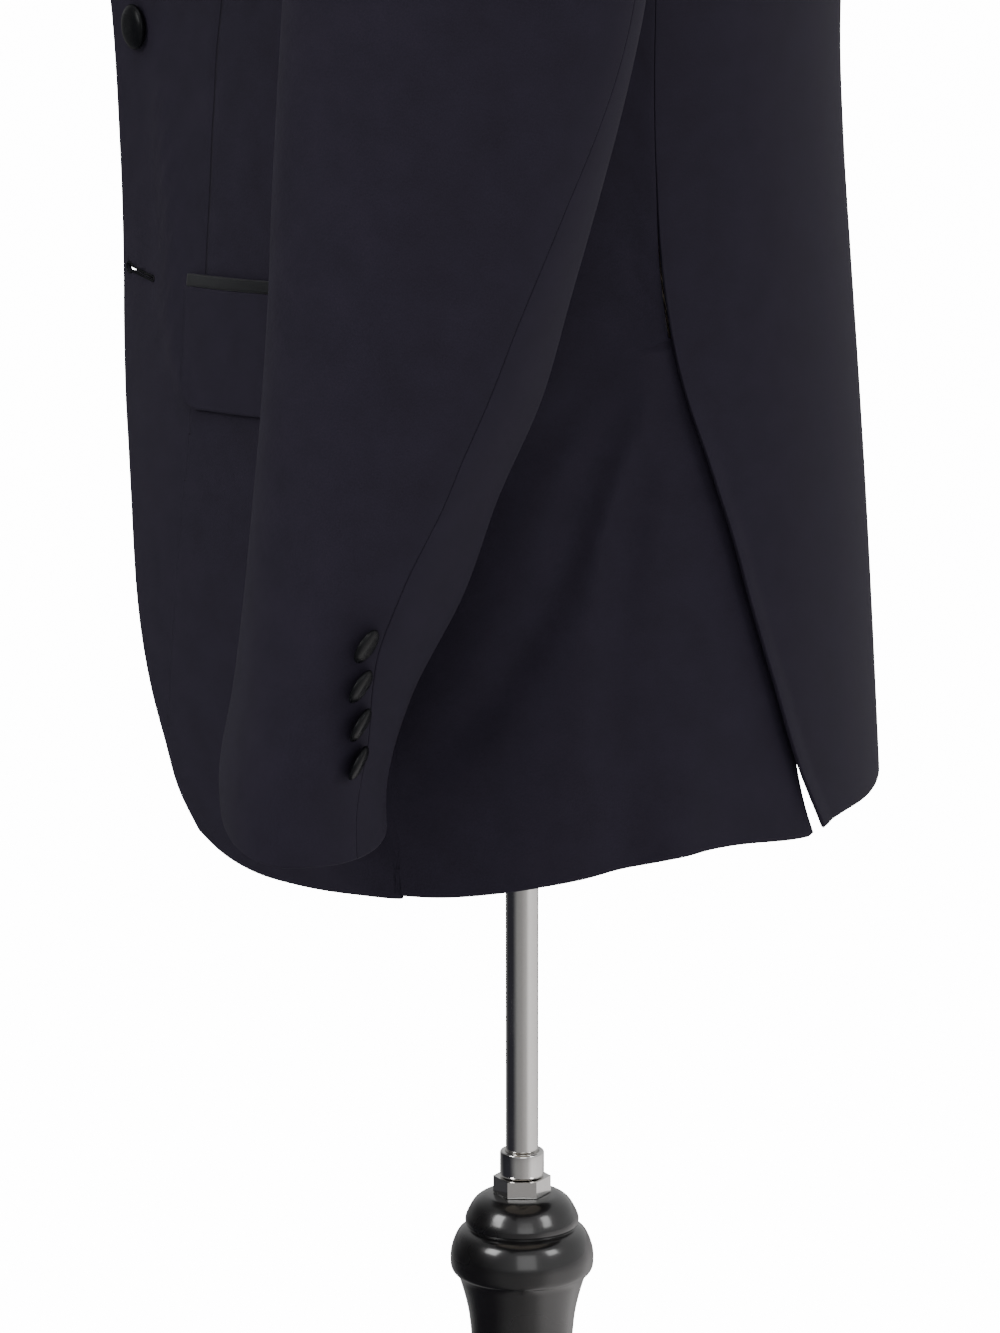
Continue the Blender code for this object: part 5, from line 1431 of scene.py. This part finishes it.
# Buttons: domed moulds covered in satin and gathered underneath; two fasten the
# front, of which the lower one is left open, and four sit along each cuff.
FRONT_BUTTON = 0.020
FRONT_BUTTON_THICK = 0.0050
FRONT_BUTTON_HEIGHTS = (1.099, 0.991)
BUTTON_SEAT = 0.0006
CUFF_BUTTON = 0.015
CUFF_BUTTON_THICK = 0.0035
CUFF_BUTTON_INSET = 0.0085
CUFF_BUTTON_HEIGHTS = (0.8838, 0.8675, 0.8512, 0.8350)
SHANK = 0.0018
CUFF_LEAN = np.array([-0.38, 0.72, -0.48])
BUTTON_OUTLINE = (
    (0.001, 0.002), (0.60, 0.002), (0.80, 0.010), (0.93, 0.09), (0.985, 0.20), (1.0, 0.34), (0.975, 0.50),
    (0.91, 0.64), (0.83, 0.745), (0.72, 0.84), (0.58, 0.92), (0.40, 0.97), (0.20, 0.995), (0.001, 1.0),
)

covered_button = satin(
    "covered_button", 0.3, (0.0035, 0.0037, 0.0042), (0.0065, 0.0068, 0.0078), 0.10, 0.21, 0.0006,
    Specular_IOR_Level=0.13,
)


def sew_button(name, node, centre, normal, diameter, thick):
    """A covered button on a face, in place of its solid."""
    across = unit(np.cross(normal, np.array([0.0, 0.1, 1.0])))
    up = np.cross(normal, across)
    turn = np.linspace(0, math.tau, 49)[:-1][:, None]
    radius = diameter / 2
    rings = [
        centre + radius * share * (np.cos(turn) * across + np.sin(turn) * up)
        + normal * thick * height
        for share, height in flowing(BUTTON_OUTLINE, 34)
    ]
    take_place(closed_skin(name, rings, covered_button), node)


upper, lower = FRONT_BUTTON_HEIGHTS
centre_turn = np.array(0.0)
sew_button(
    "covered_button_upper", "button_front_upper", LEFT.cloth(centre_turn, np.array(upper), BUTTON_SEAT),
    facing(LEFT.body, centre_turn + 0.5, np.array(upper)), FRONT_BUTTON, FRONT_BUTTON_THICK,
)
sew_button(
    "covered_button_lower", "button_front_lower", under_front(LEFT)(centre_turn, np.array(lower), BUTTON_SEAT),
    np.array([0.0, -1.0, 0.0]), FRONT_BUTTON, FRONT_BUTTON_THICK,
)
for number, z in enumerate(CUFF_BUTTON_HEIGHTS, start=1):
    ring = sleeve_ring(ELBOW_ANGLES, z)
    elbow = elbow_angle((SLEEVE_TOP_Z - z) / (SLEEVE_TOP_Z - CUFF[0][1]))
    distance = np.linalg.norm(ring - sleeve_ring(elbow, z), axis=1) + 1.0 * (ELBOW_ANGLES < elbow)
    angle = ELBOW_ANGLES[np.argmin(np.abs(distance - CUFF_BUTTON_INSET))]
    seat = sleeve_ring(angle, z)
    round_step = sleeve_ring(angle + 4, z) - sleeve_ring(angle - 4, z)
    normal = unit(np.cross(round_step, seat - sleeve_ring(angle, z + 0.005)))
    seat = seat + normal * (SEAM + SHANK)
    normal = unit(normal + CUFF_LEAN)
    for side, mirror in (("left", 1.0), ("right", MIRRORED)):
        sew_button(
            f"covered_cuff_button_{side}_{number}", f"button_cuff_{side}_{number}", seat * mirror, normal * mirror,
            CUFF_BUTTON, CUFF_BUTTON_THICK,
        )

# Buttonhole: a keyhole cut through the left front level with the open button,
# worked round with a close stitch of silk.
HOLE_START = (-6.0, 0.9912)
HOLE_END = (7.0, 0.9900)
HOLE_LENGTH = 0.0334
EYE = (0.0040, 0.0017)
SLIT = 0.0005
STITCH = 0.00045
STITCH_PITCH = 0.0009
STITCH_SWELL = 0.22
STITCH_STEPS = 450
CUT_THROUGH = (-0.0050, 0.0030)


def keyhole(grow, count=150):
    """Turn and level round the keyhole, grown by a distance."""
    length, height, slit = EYE[0] + grow, EYE[1] + grow, SLIT + grow
    start = math.asin(slit / height)
    round_eye = np.linspace(start, math.tau - start, 60)
    end = np.linspace(-math.pi / 2, math.pi / 2, 14)
    along = np.concatenate([length * np.cos(round_eye), HOLE_LENGTH + slit * np.cos(end)])
    across = np.concatenate([height * np.sin(round_eye), slit * np.sin(end)])
    along, across = np.append(along, along[0]), np.append(across, across[0])
    run = run_length(np.stack([along, across], axis=1))
    at = np.linspace(0, run[-1], count + 1)[:-1]
    along, across = np.interp(at, run, along), np.interp(at, run, across)
    share = along / HOLE_LENGTH
    turn = HOLE_START[0] + share * (HOLE_END[0] - HOLE_START[0])
    return turn, HOLE_START[1] + share * (HOLE_END[1] - HOLE_START[1]) + across


hole = keyhole(0.0)
cutter = closed_skin("keyhole_cutter", [LEFT.cloth(*hole, out + 0 * hole[0]) for out in CUT_THROUGH], black_worsted)
cut = left_front.modifiers.new("keyhole", "BOOLEAN")
cut.operation = "DIFFERENCE"
cut.solver = "EXACT"
cut.object = cutter
bpy.context.view_layer.update()
opened = bpy.data.meshes.new_from_object(left_front.evaluated_get(bpy.context.evaluated_depsgraph_get()))
left_front.modifiers.remove(cut)
left_front.data = opened
bpy.data.objects.remove(cutter)

rim = keyhole(STITCH, STITCH_STEPS)
middle = LEFT.cloth(*rim, 0.0001 + 0 * rim[0])
up = unit(LEFT.cloth(*rim, 0.001 + 0 * rim[0]) - LEFT.cloth(*rim, 0 * rim[0]))
aside = unit(np.cross(np.roll(middle, -1, axis=0) - np.roll(middle, 1, axis=0), up))
run = np.arange(STITCH_STEPS) * np.linalg.norm(middle[1] - middle[0])
thick = STITCH * (1 + STITCH_SWELL * np.sin(run * math.tau / STITCH_PITCH))[:, None]
round_stitch = np.linspace(0, math.tau, 9)[:-1]
loops = np.stack([middle + thick * (math.cos(a) * aside + math.sin(a) * up) for a in round_stitch], axis=1)
worked_rim = closed_skin("buttonhole_stitching", np.concatenate([loops, loops[:1]]), covered_button)
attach(worked_rim, "dressed_form")
